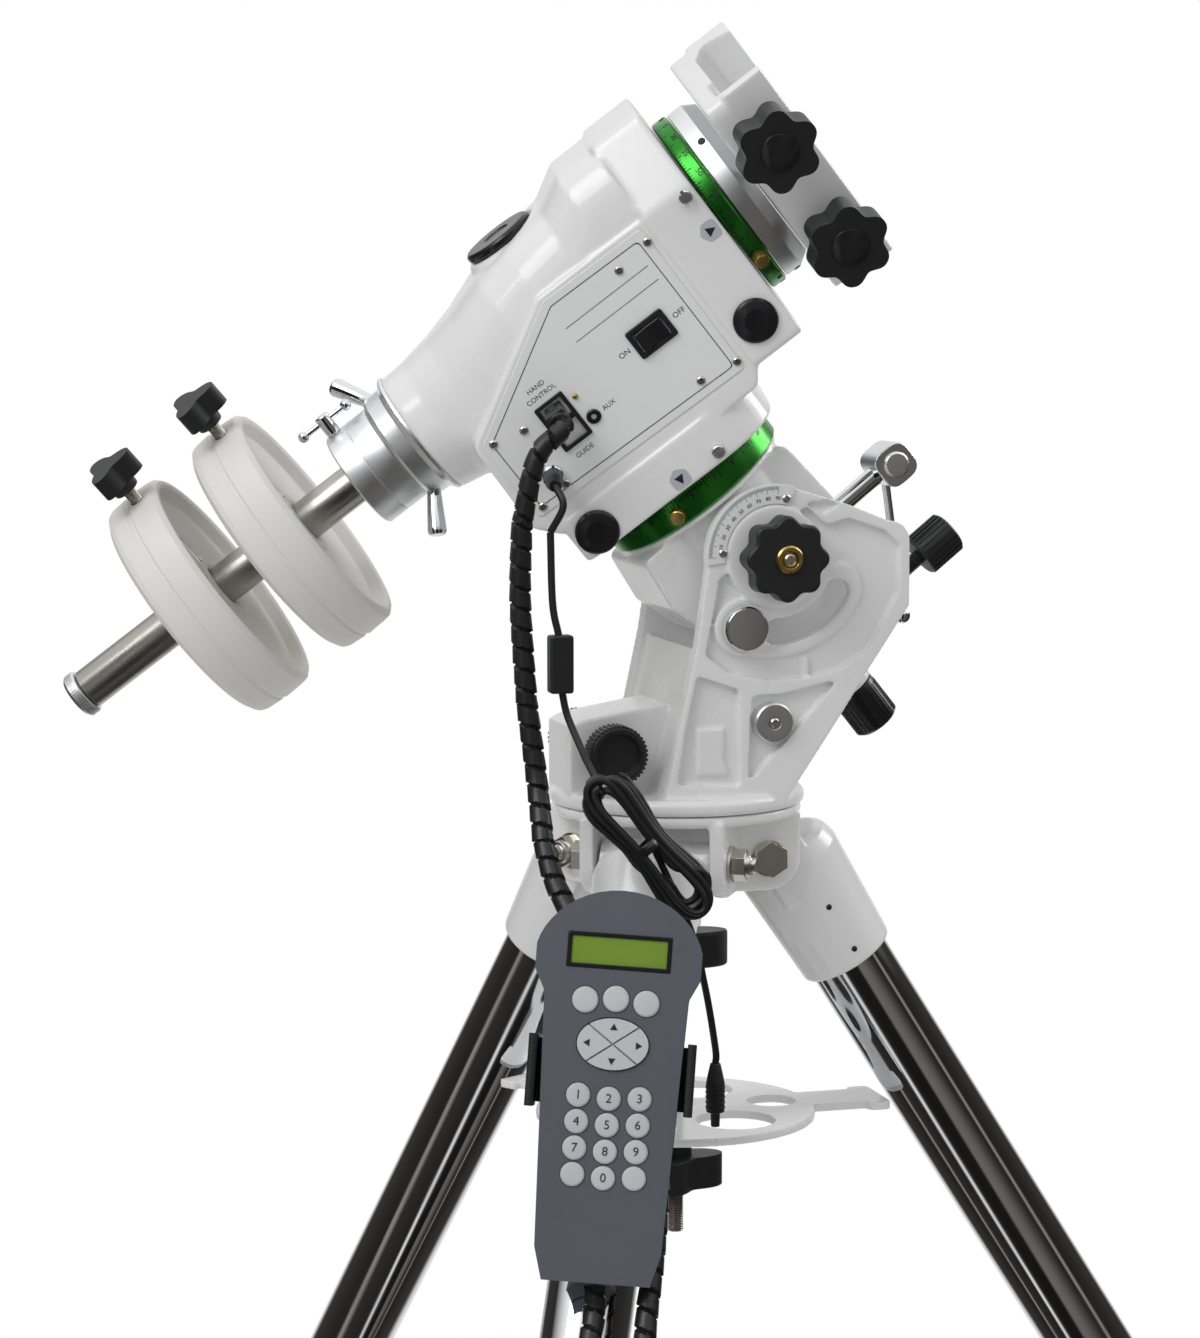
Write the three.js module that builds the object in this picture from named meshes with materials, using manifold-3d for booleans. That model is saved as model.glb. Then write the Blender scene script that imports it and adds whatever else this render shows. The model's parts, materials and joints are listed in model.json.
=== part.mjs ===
// Equatorial telescope mount on a steel tripod, with hand controller.
// Millimetres, +Z up, -X is the pole side of the head. The origin lies on the
// floor, under the centre of the whole object's bounding box.

import * as THREE from 'three';
import { mergeVertices } from 'three/addons/utils/BufferGeometryUtils.js';
import Module from 'manifold-3d';

const wasm = await Module();
wasm.setup();

// ---------------------------------------------------------------- dimensions

const GAP = 0.3;                 // running gap between neighbouring pieces
const TURN = 2 * Math.PI;
const rad = THREE.MathUtils.degToRad;

// pose in which the mount stands
const LATITUDE = 51;             // height of the polar axis above level, degrees
const HEAD_TURN = 15;            // head turned about the polar axis, degrees
const SADDLE_TURN = 12;          // saddle turned about the declination axis, degrees

// tripod
const HUB_HEIGHT = 760;          // floor to underside of the hub plate
const HUB_R = 76;
const HUB_PLATE = 7;
const LEG_COUNT = 3;
const LEG_SPLAY = 32.5;          // leg to vertical, degrees
const HINGE_R = 45;              // hinge bolt to azimuth axis
const HINGE_DROP = 24;           // hinge bolt below the hub plate
const LEG_OFFSET = 18;           // leg tube axis outside the hinge bolt
const TUBE_R = 25.4;             // two inch tube
const TUBE_WALL = 2;
const SLIDER_R = 22.2;
const SOCKET_LEN = 95;
const TUBE_END = 590;            // along the leg from the hinge
const CLAMP_END = 640;
const SLIDER_TOP = 180;
const FOOT_TOP = 838;
const ROD_R = 5;
const TRAY_Z = -184;
const TRAY_R = 86;
const TRAY_TIP_R = 133;
const LEG_PLACE = { x: HINGE_R, z: -HINGE_DROP, ry: -LEG_SPLAY };

// azimuth base and altitude pivot, above the hub plate
const BASE_Z = HUB_PLATE + 0.5;
const BASE_R = 78;
const BASE_DISC = 9.5;
const PEG_X = -50;               // azimuth peg that the two azimuth screws push on
const PLATE_OUT = 64;            // outer face of a side plate from the meridian
const PLATE_IN = 53;
const PIVOT = new THREE.Vector3(42, 0, 160);
const SLOT_R = 45.5;             // curved slot about the altitude pivot

// altitude adjuster, in the frame of the polar housing
const LINK_X0 = 58;
const LINK_X1 = 105;
const LINK_Z = -20;
const SCREW_Z = -78;
const BAR_Y = 9.5;
const BAR_SLANT = 31;            // tommy bar to polar axis, degrees

// head, measured from the crossing of the polar and declination axes
const HEAD_ABOVE_PIVOT = 178;
const CASE_Y = 62;               // half depth of the head casing
const BLOCK_Y = 64;
const RING_R = 60;
const WHEEL_R = 47;
const WORM_R = 9;
const DEC_WORM = { x: 92, z: -57 };
const RA_WORM = { x: -57, z: -100 };
const SHAFT_R = 12.5;
const CLAMP_X = -150;            // shaft clamp screw along the declination axis
const WEIGHT_R = 77;
const WEIGHT_T = 39;
const WEIGHT_SPOTS = [-208.5, -272.5];
const WEIGHT_KNOB_ANGLE = 12;    // knob turned round the shaft from the pole side, degrees
const SADDLE_HALF = 70;
const SEAT_X = 155;
const SADDLE_KNOB_Z = [36.5, -36.5];
const SADDLE_KNOB_X = 161;

// hand controller
const PAD_H = 216;
const PAD_T = 27;
const PAD_SPOT = { x: -97, y: -196, z: -122, rz: -17 };
const PAD_LEAN = { rx: -12, ry: 4 };
const PAD_LEG = 2;               // the leg that carries the hand controller

// -------------------------------------------------------------------- colours

const WHITE = { color: 0xeeeeec, roughness: 0.35, metalness: 0.0 };
const SATIN_WHITE = { color: 0xeceae4, roughness: 0.55, metalness: 0.0 };
const BLACK = { color: 0x17191c, roughness: 0.5, metalness: 0.0 };
const STEEL = { color: 0x9a978f, roughness: 0.3, metalness: 1.0 };
const CHROME = { color: 0xd8dadd, roughness: 0.08, metalness: 1.0 };
const ALUMINIUM = { color: 0xc4c6c8, roughness: 0.35, metalness: 0.9 };
const GREEN = { color: 0x2f8a24, roughness: 0.3, metalness: 0.8 };
const BRASS = { color: 0xb9973f, roughness: 0.3, metalness: 1.0 };
const GREY = { color: 0x4a4d55, roughness: 0.6, metalness: 0.0 };
const LIGHT_GREY = { color: 0xdedfe0, roughness: 0.4, metalness: 0.0 };
const RUBBER = { color: 0xd9dadb, roughness: 0.7, metalness: 0.0 };
const CABLE = { color: 0x1b1c1e, roughness: 0.6, metalness: 0.0 };

// ------------------------------------------------------------ shape functions

function signedVolume(position, index) {
  const a = new THREE.Vector3();
  const b = new THREE.Vector3();
  const c = new THREE.Vector3();
  let sum = 0;
  for (let i = 0; i < index.length; i += 3) {
    a.fromBufferAttribute(position, index[i]);
    b.fromBufferAttribute(position, index[i + 1]);
    c.fromBufferAttribute(position, index[i + 2]);
    sum += a.dot(b.cross(c));
  }
  return sum;
}

// Turns a closed geometry into a solid that can be joined and cut.
function solid(geometry) {
  const bare = geometry.clone();
  bare.deleteAttribute('normal');
  bare.deleteAttribute('uv');
  const merged = mergeVertices(bare, 1e-4);
  const source = merged.index.array;
  const triangles = [];
  for (let i = 0; i < source.length; i += 3) {
    const [a, b, c] = [source[i], source[i + 1], source[i + 2]];
    if (a !== b && b !== c && c !== a) triangles.push(a, b, c);
  }
  if (signedVolume(merged.attributes.position, triangles) < 0) triangles.reverse();
  return new wasm.Manifold(new wasm.Mesh({
    numProp: 3,
    vertProperties: Float32Array.from(merged.attributes.position.array),
    triVerts: Uint32Array.from(triangles),
  }));
}

const join = (...solids) => solids.reduce((sum, next) => sum.add(next));
const cut = (body, ...tools) => tools.reduce((rest, tool) => rest.subtract(tool), body);

const TO_AXIS = {
  x: new THREE.Matrix4().makeBasis(
    new THREE.Vector3(0, 1, 0), new THREE.Vector3(0, 0, 1), new THREE.Vector3(1, 0, 0)),
  y: new THREE.Matrix4().makeBasis(
    new THREE.Vector3(1, 0, 0), new THREE.Vector3(0, 0, -1), new THREE.Vector3(0, 1, 0)),
  z: new THREE.Matrix4(),
};

function move(geometry, x, y, z) {
  return geometry.translate(x, y, z);
}

function turn(geometry, axis, degrees) {
  const matrix = new THREE.Matrix4();
  matrix[`makeRotation${axis.toUpperCase()}`](rad(degrees));
  return geometry.applyMatrix4(matrix);
}

function boxGeometry(x0, x1, y0, y1, z0, z1) {
  const geometry = new THREE.BoxGeometry(x1 - x0, y1 - y0, z1 - z0);
  return move(geometry, (x0 + x1) / 2, (y0 + y1) / 2, (z0 + z1) / 2);
}

const box = (...limits) => solid(boxGeometry(...limits));

// A solid of revolution. The profile is [radius, height] pairs along the axis.
function turnedGeometry(profile, axis = 'z', sides = 20) {
  const points = profile.map(([r, h]) => new THREE.Vector2(r, h));
  const geometry = new THREE.LatheGeometry(points, sides);
  turn(geometry, 'x', 90);
  return geometry.applyMatrix4(TO_AXIS[axis]);
}

function cylinderGeometry(r, a, b, axis = 'z', sides = 12) {
  return turnedGeometry([[0, a], [r, a], [r, b], [0, b]], axis, sides);
}

// Corner radius of a faceted hole whose flats lie at radius r, so that a round
// piece of that radius turns freely in it.
const clear = (r, sides) => r / Math.cos(Math.PI / sides);

function boreGeometry(r, a, b, axis = 'z', sides = 12) {
  return cylinderGeometry(clear(r, sides), a, b, axis, sides);
}

const turned = (...args) => solid(turnedGeometry(...args));
const cylinder = (...args) => solid(cylinderGeometry(...args));
const bore = (...args) => solid(boreGeometry(...args));

function pipe(outer, inner, a, b, axis = 'z', sides = 20) {
  const hole = clear(inner, sides);
  return turned([[hole, a], [outer, a], [outer, b], [hole, b], [hole, a]], axis, sides);
}

// An outline swept from a to b. Axis z takes an outline in x, y; axis y takes
// one in x, z; axis x takes one in y, z.
function prismGeometry(outline, a, b, axis = 'z') {
  const points = outline instanceof THREE.Shape ? outline.getPoints(5)
    : outline.map(([u, v]) => new THREE.Vector2(u, v));
  const distinct = points.filter((p, i) => p.distanceTo(points.at(i - 1)) > 1e-3);
  const geometry = new THREE.ExtrudeGeometry(new THREE.Shape(distinct), {
    depth: b - a, bevelEnabled: false,
  });
  if (axis === 'y') {
    turn(geometry, 'x', 90);
    return move(geometry, 0, b, 0);
  }
  return move(geometry, 0, 0, a).applyMatrix4(TO_AXIS[axis]);
}

const prism = (...args) => solid(prismGeometry(...args));

// A rectangle with rounded corners, centred on u, v.
function roundedRect(u, v, width, height, r) {
  const shape = new THREE.Shape();
  const corners = [[1, -1, -90], [1, 1, 0], [-1, 1, 90], [-1, -1, 180]];
  for (const [su, sv, start] of corners) {
    const cu = u + su * (width / 2 - r);
    const cv = v + sv * (height / 2 - r);
    shape.absarc(cu, cv, r, rad(start), rad(start + 90), false);
  }
  return shape;
}

// A closed skin over rings of equal point count, with flat ends.
function loft(rings) {
  const count = rings[0].length;
  const positions = [];
  const index = [];
  for (const ring of rings) for (const p of ring) positions.push(p.x, p.y, p.z);
  for (let k = 0; k < rings.length - 1; k += 1) {
    for (let i = 0; i < count; i += 1) {
      const a = k * count + i;
      const b = k * count + (i + 1) % count;
      index.push(a, b, b + count, a, b + count, a + count);
    }
  }
  const last = (rings.length - 1) * count;
  for (let i = 1; i < count - 1; i += 1) {
    index.push(0, i + 1, i);
    index.push(last, last + i, last + i + 1);
  }
  const geometry = new THREE.BufferGeometry();
  geometry.setAttribute('position', new THREE.Float32BufferAttribute(positions, 3));
  geometry.setIndex(index);
  return solid(geometry);
}

// A rounded-box section across the x axis: round when power is 2, squarer above.
function section(x, halfDepth, low, high, power, count = 28) {
  const ring = [];
  for (let i = 0; i < count; i += 1) {
    const t = (i / count) * TURN;
    const c = Math.cos(t);
    const s = Math.sin(t);
    const y = Math.sign(c) * Math.abs(c) ** (2 / power) * halfDepth;
    const z = Math.sign(s) * Math.abs(s) ** (2 / power) * (high - low) / 2;
    ring.push(new THREE.Vector3(x, y, z + (high + low) / 2));
  }
  return ring;
}

// A hand knob outline with rounded lobes.
function lobedOutline(radius, lobes, depth, perLobe = 7) {
  const points = [];
  const count = lobes * perLobe;
  for (let i = 0; i < count; i += 1) {
    const t = (i / count) * TURN;
    const wave = Math.abs(Math.cos((lobes * t) / 2));
    const r = radius * (1 - depth * (1 - wave) ** 1.3);
    points.push([r * Math.cos(t), r * Math.sin(t)]);
  }
  return points;
}

function ball(radius, x, y, z) {
  return solid(move(new THREE.SphereGeometry(radius, 8, 6), x, y, z));
}

function part(name, shape, look, place = {}) {
  const result = shape.getMesh();
  const geometry = new THREE.BufferGeometry();
  geometry.setAttribute('position', new THREE.BufferAttribute(result.vertProperties, 3));
  geometry.setIndex(new THREE.BufferAttribute(result.triVerts, 1));
  const mesh = new THREE.Mesh(geometry, new THREE.MeshStandardMaterial(look));
  mesh.name = name;
  mesh.position.set(place.x ?? 0, place.y ?? 0, place.z ?? 0);
  mesh.rotation.set(rad(place.rx ?? 0), rad(place.ry ?? 0), rad(place.rz ?? 0));
  return mesh;
}

function group(parent, place = {}) {
  const result = new THREE.Group();
  result.position.set(place.x ?? 0, place.y ?? 0, place.z ?? 0);
  result.rotation.set(rad(place.rx ?? 0), rad(place.ry ?? 0), rad(place.rz ?? 0));
  parent.add(result);
  return result;
}

// The matrix of one place inside another, outermost first.
function chain(...places) {
  let inner = new THREE.Group();
  for (const place of places) inner = group(inner, place);
  inner.updateWorldMatrix(true, false);
  return inner.matrixWorld;
}

// --------------------------------------------------------------------- tripod

function hubLugs() {
  const lugs = [];
  for (let i = 0; i < LEG_COUNT; i += 1) {
    for (const side of [-1, 1]) {
      const low = side * 35.5;
      const high = side * 44;
      const outline = new THREE.Shape();
      outline.moveTo(8, 0.5);
      outline.lineTo(66, 0.5);
      outline.lineTo(66, -HINGE_DROP);
      outline.absarc(HINGE_R + 1, -HINGE_DROP, 20, 0, -Math.PI / 2, true);
      outline.lineTo(8, -44);
      const lug = prismGeometry(outline, Math.min(low, high), Math.max(low, high), 'y');
      lugs.push(solid(turn(lug, 'z', i * 120)));
    }
  }
  return lugs;
}

function tripodHub() {
  const plate = turned([[0, 0], [HUB_R - 3, 0], [HUB_R, 2], [HUB_R, HUB_PLATE - 1.5],
    [HUB_R - 1.5, HUB_PLATE], [0, HUB_PLATE]], 'z', 26);
  const core = cylinder(21, -44, 1, 'z', 14);
  const pegProfile = [[0, 1], [6.5, 1], [6.5, 44], [5, 46], [0, 46]];
  const peg = solid(move(turnedGeometry(pegProfile, 'z', 12), PEG_X, 0, 0));
  const hub = join(plate, core, peg, ...hubLugs());
  const holes = [];
  for (let i = 0; i < LEG_COUNT; i += 1) {
    const slot = boxGeometry(24, 90, -35.2, 35.2, -60, -0.01);
    holes.push(solid(turn(slot, 'z', i * 120)));
  }
  return part('tripod_hub', cut(hub, ...holes, bore(ROD_R + 1, -60, 20)), WHITE);
}

function legSocket() {
  const body = solid(move(turnedGeometry([[0, -SOCKET_LEN], [29.5, -SOCKET_LEN],
    [30, -SOCKET_LEN + 2], [33.5, -22], [30, -9], [0, -9]], 'z', 16),
  LEG_OFFSET, 0, 0));
  const eye = cylinder(13, -34, 34, 'y');
  const bridge = box(-4, 26, -30, 30, -40, -6);
  const tubeBore = solid(move(boreGeometry(TUBE_R + GAP, -SOCKET_LEN - 1, -38, 'z', 16),
    LEG_OFFSET, 0, 0));
  const boltBore = bore(5, -40, 40, 'y', 8);
  const above = solid(turn(boxGeometry(-80, 120, -60, 60, HINGE_DROP - 1, 90), 'y', LEG_SPLAY));
  return cut(join(body, eye, bridge), tubeBore, boltBore, above);
}

function legTube() {
  return solid(move(turnedGeometry([[TUBE_R - TUBE_WALL, -TUBE_END], [TUBE_R, -TUBE_END],
    [TUBE_R, -39], [TUBE_R - TUBE_WALL, -39], [TUBE_R - TUBE_WALL, -TUBE_END]], 'z', 16),
  LEG_OFFSET, 0, 0));
}

function legClamp() {
  const top = -TUBE_END + 42;
  const sides = 16;
  const narrow = clear(SLIDER_R + GAP, sides);
  const wide = clear(TUBE_R + GAP, sides);
  const collar = solid(move(turnedGeometry([[narrow, -CLAMP_END], [28, -CLAMP_END],
    [31, -CLAMP_END + 4], [31, top - 3], [29.5, top], [wide, top], [wide, -TUBE_END - GAP],
    [narrow, -TUBE_END - GAP], [narrow, -CLAMP_END]], 'z', sides), LEG_OFFSET, 0, 0));
  const boss = solid(move(cylinderGeometry(11, TUBE_R + 2, 40, 'x', 12),
    LEG_OFFSET, 0, -CLAMP_END + 22));
  const studBore = solid(move(boreGeometry(4 + GAP, SLIDER_R - 1, 45, 'x', 8),
    LEG_OFFSET, 0, -CLAMP_END + 22));
  return cut(join(collar, boss), studBore);
}

function legKnob() {
  const grip = prism(lobedOutline(19, 3, 0.42, 6), 41, 57, 'x');
  const stud = cylinder(4, SLIDER_R + 1.2, 42, 'x', 8);
  return join(grip, stud);
}

function legSlider(floorAlong) {
  const tube = turnedGeometry([[SLIDER_R - TUBE_WALL, -FOOT_TOP], [SLIDER_R, -FOOT_TOP],
    [SLIDER_R, -SLIDER_TOP], [SLIDER_R - TUBE_WALL, -SLIDER_TOP],
    [SLIDER_R - TUBE_WALL, -FOOT_TOP]], 'z', 16);
  const foot = turnedGeometry([[0, -floorAlong - 40], [15, -floorAlong - 40],
    [19, -floorAlong + 14], [25, -FOOT_TOP - 8], [25, -FOOT_TOP + 12],
    [23.5, -FOOT_TOP + 14], [0, -FOOT_TOP + 14]], 'z', 16);
  const below = turn(boxGeometry(-200, 200, -60, 60, -90, 0), 'y', LEG_SPLAY);
  move(below, 0, 0, -floorAlong);
  return cut(join(solid(tube), solid(foot)), solid(below));
}

function addLegs(tripod) {
  const splay = rad(LEG_SPLAY);
  const drop = HUB_HEIGHT - HINGE_DROP + LEG_OFFSET * Math.sin(splay);
  const floorAlong = drop / Math.cos(splay);
  for (let i = 0; i < LEG_COUNT; i += 1) {
    const letter = 'abc'[i];
    const side = group(tripod, { rz: i * 120 });
    const leg = group(side, LEG_PLACE);
    leg.add(part(`leg_socket_${letter}`, legSocket(), WHITE));
    leg.add(part(`leg_tube_${letter}`, legTube(), CHROME));
    leg.add(part(`leg_clamp_${letter}`, legClamp(), WHITE));
    leg.add(part(`leg_lock_knob_${letter}`, legKnob(), BLACK,
      { x: LEG_OFFSET, z: -CLAMP_END + 22 }));
    leg.add(part(`leg_slider_${letter}`, legSlider(floorAlong), CHROME, { x: LEG_OFFSET }));
  }
}

function spreaderTray() {
  const pieces = [cylinder(TRAY_R, -5, 0, 'z', 26), cylinder(15, -22, 0, 'z', 14)];
  const holes = [bore(ROD_R + 0.6, -30, 10)];
  for (let i = 0; i < LEG_COUNT; i += 1) {
    const arm = boxGeometry(40, TRAY_TIP_R, -17, 17, -5, 0);
    pieces.push(solid(turn(arm, 'z', i * 120)));
    const pad = boxGeometry(TRAY_TIP_R - 14, TRAY_TIP_R, -23, 23, -5, 0);
    pieces.push(solid(turn(pad, 'z', i * 120)));
    const large = move(cylinderGeometry(24, -20, 10, 'z', 14), 50, 0, 0);
    holes.push(solid(turn(large, 'z', i * 120 + 60)));
    const small = move(cylinderGeometry(15, -20, 10, 'z', 12), 62, 0, 0);
    holes.push(solid(turn(small, 'z', i * 120)));
  }
  return part('spreader_tray', cut(join(...pieces), ...holes), WHITE, { z: TRAY_Z });
}

function trayKnob() {
  const grip = prism(lobedOutline(30, 3, 0.42, 6), -50, -30, 'z');
  const collar = cylinder(10, -32, -23);
  const shape = cut(join(grip, collar), bore(ROD_R + 0.5, -60, 0));
  return part('tray_knob', shape, BLACK, { z: TRAY_Z });
}

function mountingBolt() {
  const rod = cylinder(ROD_R, -262, 16);
  const grip = prism(lobedOutline(33, 3, 0.42, 6), -96, -74, 'z');
  const collar = cylinder(11, -76, -50);
  return part('mounting_bolt', join(rod, grip, collar), BLACK);
}

// ---------------------------------------------------------------- azimuth base

function slotOutline(radius, halfWidth, start, end) {
  const shape = new THREE.Shape();
  const [a, b] = [rad(start), rad(end)];
  shape.absarc(0, 0, radius + halfWidth, a, b, false);
  shape.absarc(radius * Math.cos(b), radius * Math.sin(b), halfWidth, b, b + Math.PI, false);
  shape.absarc(0, 0, radius - halfWidth, b, a, true);
  shape.absarc(radius * Math.cos(a), radius * Math.sin(a), halfWidth, a + Math.PI, a + TURN, false);
  return shape;
}

function sidePlateOutline() {
  const shape = new THREE.Shape();
  shape.moveTo(-27, BASE_Z + 2);
  shape.lineTo(-6, 108);
  shape.lineTo(PIVOT.x - 42, 150);
  shape.absarc(PIVOT.x, PIVOT.z, 42, rad(188), rad(75), true);
  shape.lineTo(88, 190);
  shape.lineTo(113, 180);
  shape.absarc(114, 167, 13, rad(75), rad(0), true);
  shape.lineTo(127, 129);
  shape.lineTo(102, 92);
  shape.lineTo(84, 64);
  shape.lineTo(47, BASE_Z + 2);
  return shape;
}

function platePockets(outerFace, depth) {
  const low = outerFace - depth;
  const pocket = (points) => prism(points, low, outerFace + 5, 'y');
  const triangle = pocket([[27, 80], [83, 86], [80, 80], [26, 26]]);
  const left = pocket([[-3, 95], [17, 88], [17, 30], [-17, 26], [-14, 45]]);
  const right = pocket([[92, 181], [112, 173], [120, 165], [120, 132], [104, 112], [95, 140]]);
  return [triangle, left, right];
}

function sidePlate() {
  const plate = prism(sidePlateOutline(), PLATE_IN, PLATE_OUT, 'y');
  const slot = slotOutline(SLOT_R, 8, 272, 330);
  const slotHole = solid(move(prismGeometry(slot, PLATE_IN - 5, PLATE_OUT + 5, 'y'),
    PIVOT.x, 0, PIVOT.z));
  const boss = solid(move(cylinderGeometry(30, PLATE_IN, PLATE_OUT + 2, 'y', 20),
    PIVOT.x, 0, PIVOT.z));
  const pivotBore = solid(move(boreGeometry(8 + GAP, PLATE_IN - 5, PLATE_OUT + 9, 'y', 12),
    PIVOT.x, 0, PIVOT.z));
  const raised = join(cut(plate, ...platePockets(PLATE_OUT, 5)), boss);
  return cut(raised, slotHole, pivotBore);
}

function azimuthBase() {
  const top = BASE_Z + BASE_DISC;
  const disc = turned([[0, BASE_Z], [BASE_R - 2, BASE_Z], [BASE_R, BASE_Z + 2],
    [BASE_R, top - 3], [BASE_R - 3, top], [0, top]], 'z', 26);
  const far = sidePlate();
  const near = far.mirror([0, 1, 0]);
  const frontWall = prism([[-22, top - 1], [0, 100], [6, 98.5], [-6, top - 1]],
    -PLATE_IN - 1, PLATE_IN + 1, 'y');
  const block = prism([[-74, top - 1], [-74, 57], [-66, 61], [-14, 70], [-8, top - 1]], -25, 25, 'y');
  const cavity = box(-66, -34, -16, 16, BASE_Z - 5, 52);
  const screwHoles = solid(move(boreGeometry(5 + GAP, -40, 40, 'y', 10), PEG_X, 0, 42));
  const rodBore = bore(ROD_R + 1, BASE_Z - 5, BASE_Z + 40);
  const shape = cut(join(disc, far, near, frontWall, block), cavity, screwHoles, rodBore);
  return part('azimuth_base', shape, WHITE);
}

function azimuthKnob(side) {
  const grip = turned([[0, 34], [17, 34], [18, 36], [18, 48], [16, 50], [12, 50], [11, 47],
    [0, 47]], 'y');
  const stud = cylinder(5, 7.8, 35, 'y', 10);
  const shape = join(grip, stud);
  return side > 0 ? shape : shape.mirror([0, 1, 0]);
}

function altitudeLockKnob() {
  const grip = prism(lobedOutline(25.5, 7, 0.2, 4), -92, -70, 'y');
  const collar = cylinder(15, -71, -67, 'y', 14);
  const stud = cylinder(8, -69, -57, 'y', 12);
  return part('altitude_lock_knob', join(grip, collar, stud), BLACK,
    { x: PIVOT.x, z: PIVOT.z });
}

function altitudeCap() {
  const cap = turned([[0, -74], [12, -74], [13.5, -72.5], [13.5, -PLATE_OUT - GAP],
    [0, -PLATE_OUT - GAP]], 'y', 20);
  return part('altitude_bolt_cap', cap, CHROME, { x: 22, z: 118 });
}

// -------------------------------------------------------------- polar housing
// Frame of this group: z along the polar axis, origin on the altitude pivot.

function polarHousing() {
  const body = prism([[-60, 43], [-62, 27], [-64, 10], [-56, -16], [-40, -45], [-20, -62],
    [20, -62], [45, -30], [56, -6], [52, 37], [50, 43]], -40, 40, 'y');
  const barrel = turned([[0, -62], [34, -62], [44, -40], [51, 0], [51, 42.4], [57, 44],
    [58, 45], [58, 47.2], [0, 47.2]], 'z', 26);
  const trunnion = cylinder(27, -PLATE_IN + GAP, PLATE_IN - GAP, 'y', 20);
  const tail = turned([[0, -112], [15, -112], [15, -80], [20, -61], [0, -61]], 'z', 14);
  const linkArm = box(30, LINK_X0, -9, 9, LINK_Z - 10, LINK_Z + 10);
  const knobArm = box(8, 56, -8.5, 8.5, SCREW_Z - 8, SCREW_Z + 8);
  const spindle = cylinder(40, 47, 64.6, 'z', 20);
  const wheelSpindle = cylinder(22, 64, 90, 'z', 16);
  const sight = cylinder(11, -120, 92);
  const lockHole = bore(8 + GAP, -60, -44, 'y');
  const screwHole = solid(move(boreGeometry(5 + GAP, 38, 60, 'x', 10), 0, 0, SCREW_Z));
  const housing = join(body, barrel, trunnion, tail, linkArm, knobArm, spindle, wheelSpindle);
  return part('polar_housing', cut(housing, sight, lockHole, screwHole), WHITE);
}

// Steel rod out of the housing, ending in the block of the altitude adjuster.
function altitudeLink() {
  const rod = cylinder(6, LINK_X0 + GAP, LINK_X1 - 4, 'x');
  const block = prism(roundedRect(LINK_X1, 0, 24, 24, 5), -14, 14, 'y');
  const button = solid(move(cylinderGeometry(8, -16, 16, 'y'), LINK_X1, 0, 0));
  const slanted = solid(move(turn(boreGeometry(3.5 + GAP, -40, 40, 'z', 8), 'y', BAR_SLANT),
    LINK_X1, BAR_Y, 0));
  return part('altitude_link', cut(join(rod, block, button), slanted), STEEL, { z: LINK_Z });
}

// Bar through the block of the adjuster, with a ball on its lower end.
function tommyBar() {
  const bar = turned([[0, -99], [2.2, -99], [3.5, -30], [3.5, 14], [0, 14]], 'z', 8);
  return part('altitude_tommy_bar', join(bar, ball(5, 0, 0, -101)), CHROME,
    { x: LINK_X1, y: BAR_Y, z: LINK_Z, ry: BAR_SLANT });
}

// Knurled knob on the screw behind the side plates.
function altitudeKnob() {
  const grip = turned([[0, 84.5], [13, 84.5], [14, 86.5], [14, 107], [12, 110], [0, 110]],
    'x', 16);
  const stud = cylinder(5, 40, 86, 'x', 10);
  return part('altitude_knob', join(grip, stud), BLACK, { z: SCREW_Z });
}

function raCircle() {
  return pipe(RING_R, 40 + GAP, 47.5, 65.2, 'z', 28);
}

function raWheel() {
  return part('ra_worm_wheel', pipe(WHEEL_R, 22 + GAP, 72, 84, 'z', 24), BRASS);
}

function eyepieceCap() {
  const cap = turned([[0, -141], [13.5, -141], [14.5, -139.5], [14.5, -114], [13.5, -112.6],
    [0, -112.6]], 'z', 18);
  return part('polar_eyepiece_cap', cap, BLACK);
}

// ------------------------------------------------------------------------ head
// Frame of this group: x along the declination axis towards the saddle, z along
// the polar axis, -y towards the control panel, origin where the axes cross.

function caseFlats() {
  const outline = [[77, 30], [0, 31], [-84, -16], [-86, -76], [-74, -90], [70, -90], [77, -80]];
  return prism(outline, -CASE_Y, CASE_Y, 'y');
}

function caseDome() {
  return loft([
    section(-108, 40, -41, 39, 2),
    section(-92, 42, -44, 40, 2),
    section(-72, 48, -56, 43, 2.2),
    section(-50, 55, -64, 48, 2.6),
    section(-24, 59, -66, 57, 3),
    section(0, 60, -66, 62, 3.2),
    section(30, 60, -66, 66, 3.4),
    section(50, 60, -66, 77, 4),
    section(77, 60, -66, 77, 4),
  ]);
}

function decBlock() {
  const half = [[BLOCK_Y, -80], [BLOCK_Y, 30], [40, 78]];
  const mirrored = half.map(([y, z]) => [-y, z]).reverse();
  return prism([...half, ...mirrored], 76, 110, 'x');
}

function raBlock() {
  const shape = new THREE.Shape();
  shape.moveTo(-73, -BLOCK_Y + 8);
  shape.absarc(-65, -BLOCK_Y + 8, 8, rad(180), rad(270), false);
  shape.lineTo(26, -BLOCK_Y);
  shape.absarc(26, -BLOCK_Y + 42, 42, rad(270), rad(360), false);
  shape.absarc(26, BLOCK_Y - 42, 42, rad(0), rad(90), false);
  shape.lineTo(-65, BLOCK_Y);
  shape.absarc(-65, BLOCK_Y - 8, 8, rad(90), rad(180), false);
  return prism(shape, -112.5, -84, 'z');
}

const PANEL_OUTLINE = [[72, 27], [1, 28], [-79, -18], [-79, -73], [71, -76]];

function panelShape(inset) {
  const centre = [0, -30];
  return PANEL_OUTLINE.map(([x, z]) => [
    x - Math.sign(x - centre[0]) * inset, z - Math.sign(z - centre[1]) * inset]);
}

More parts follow.
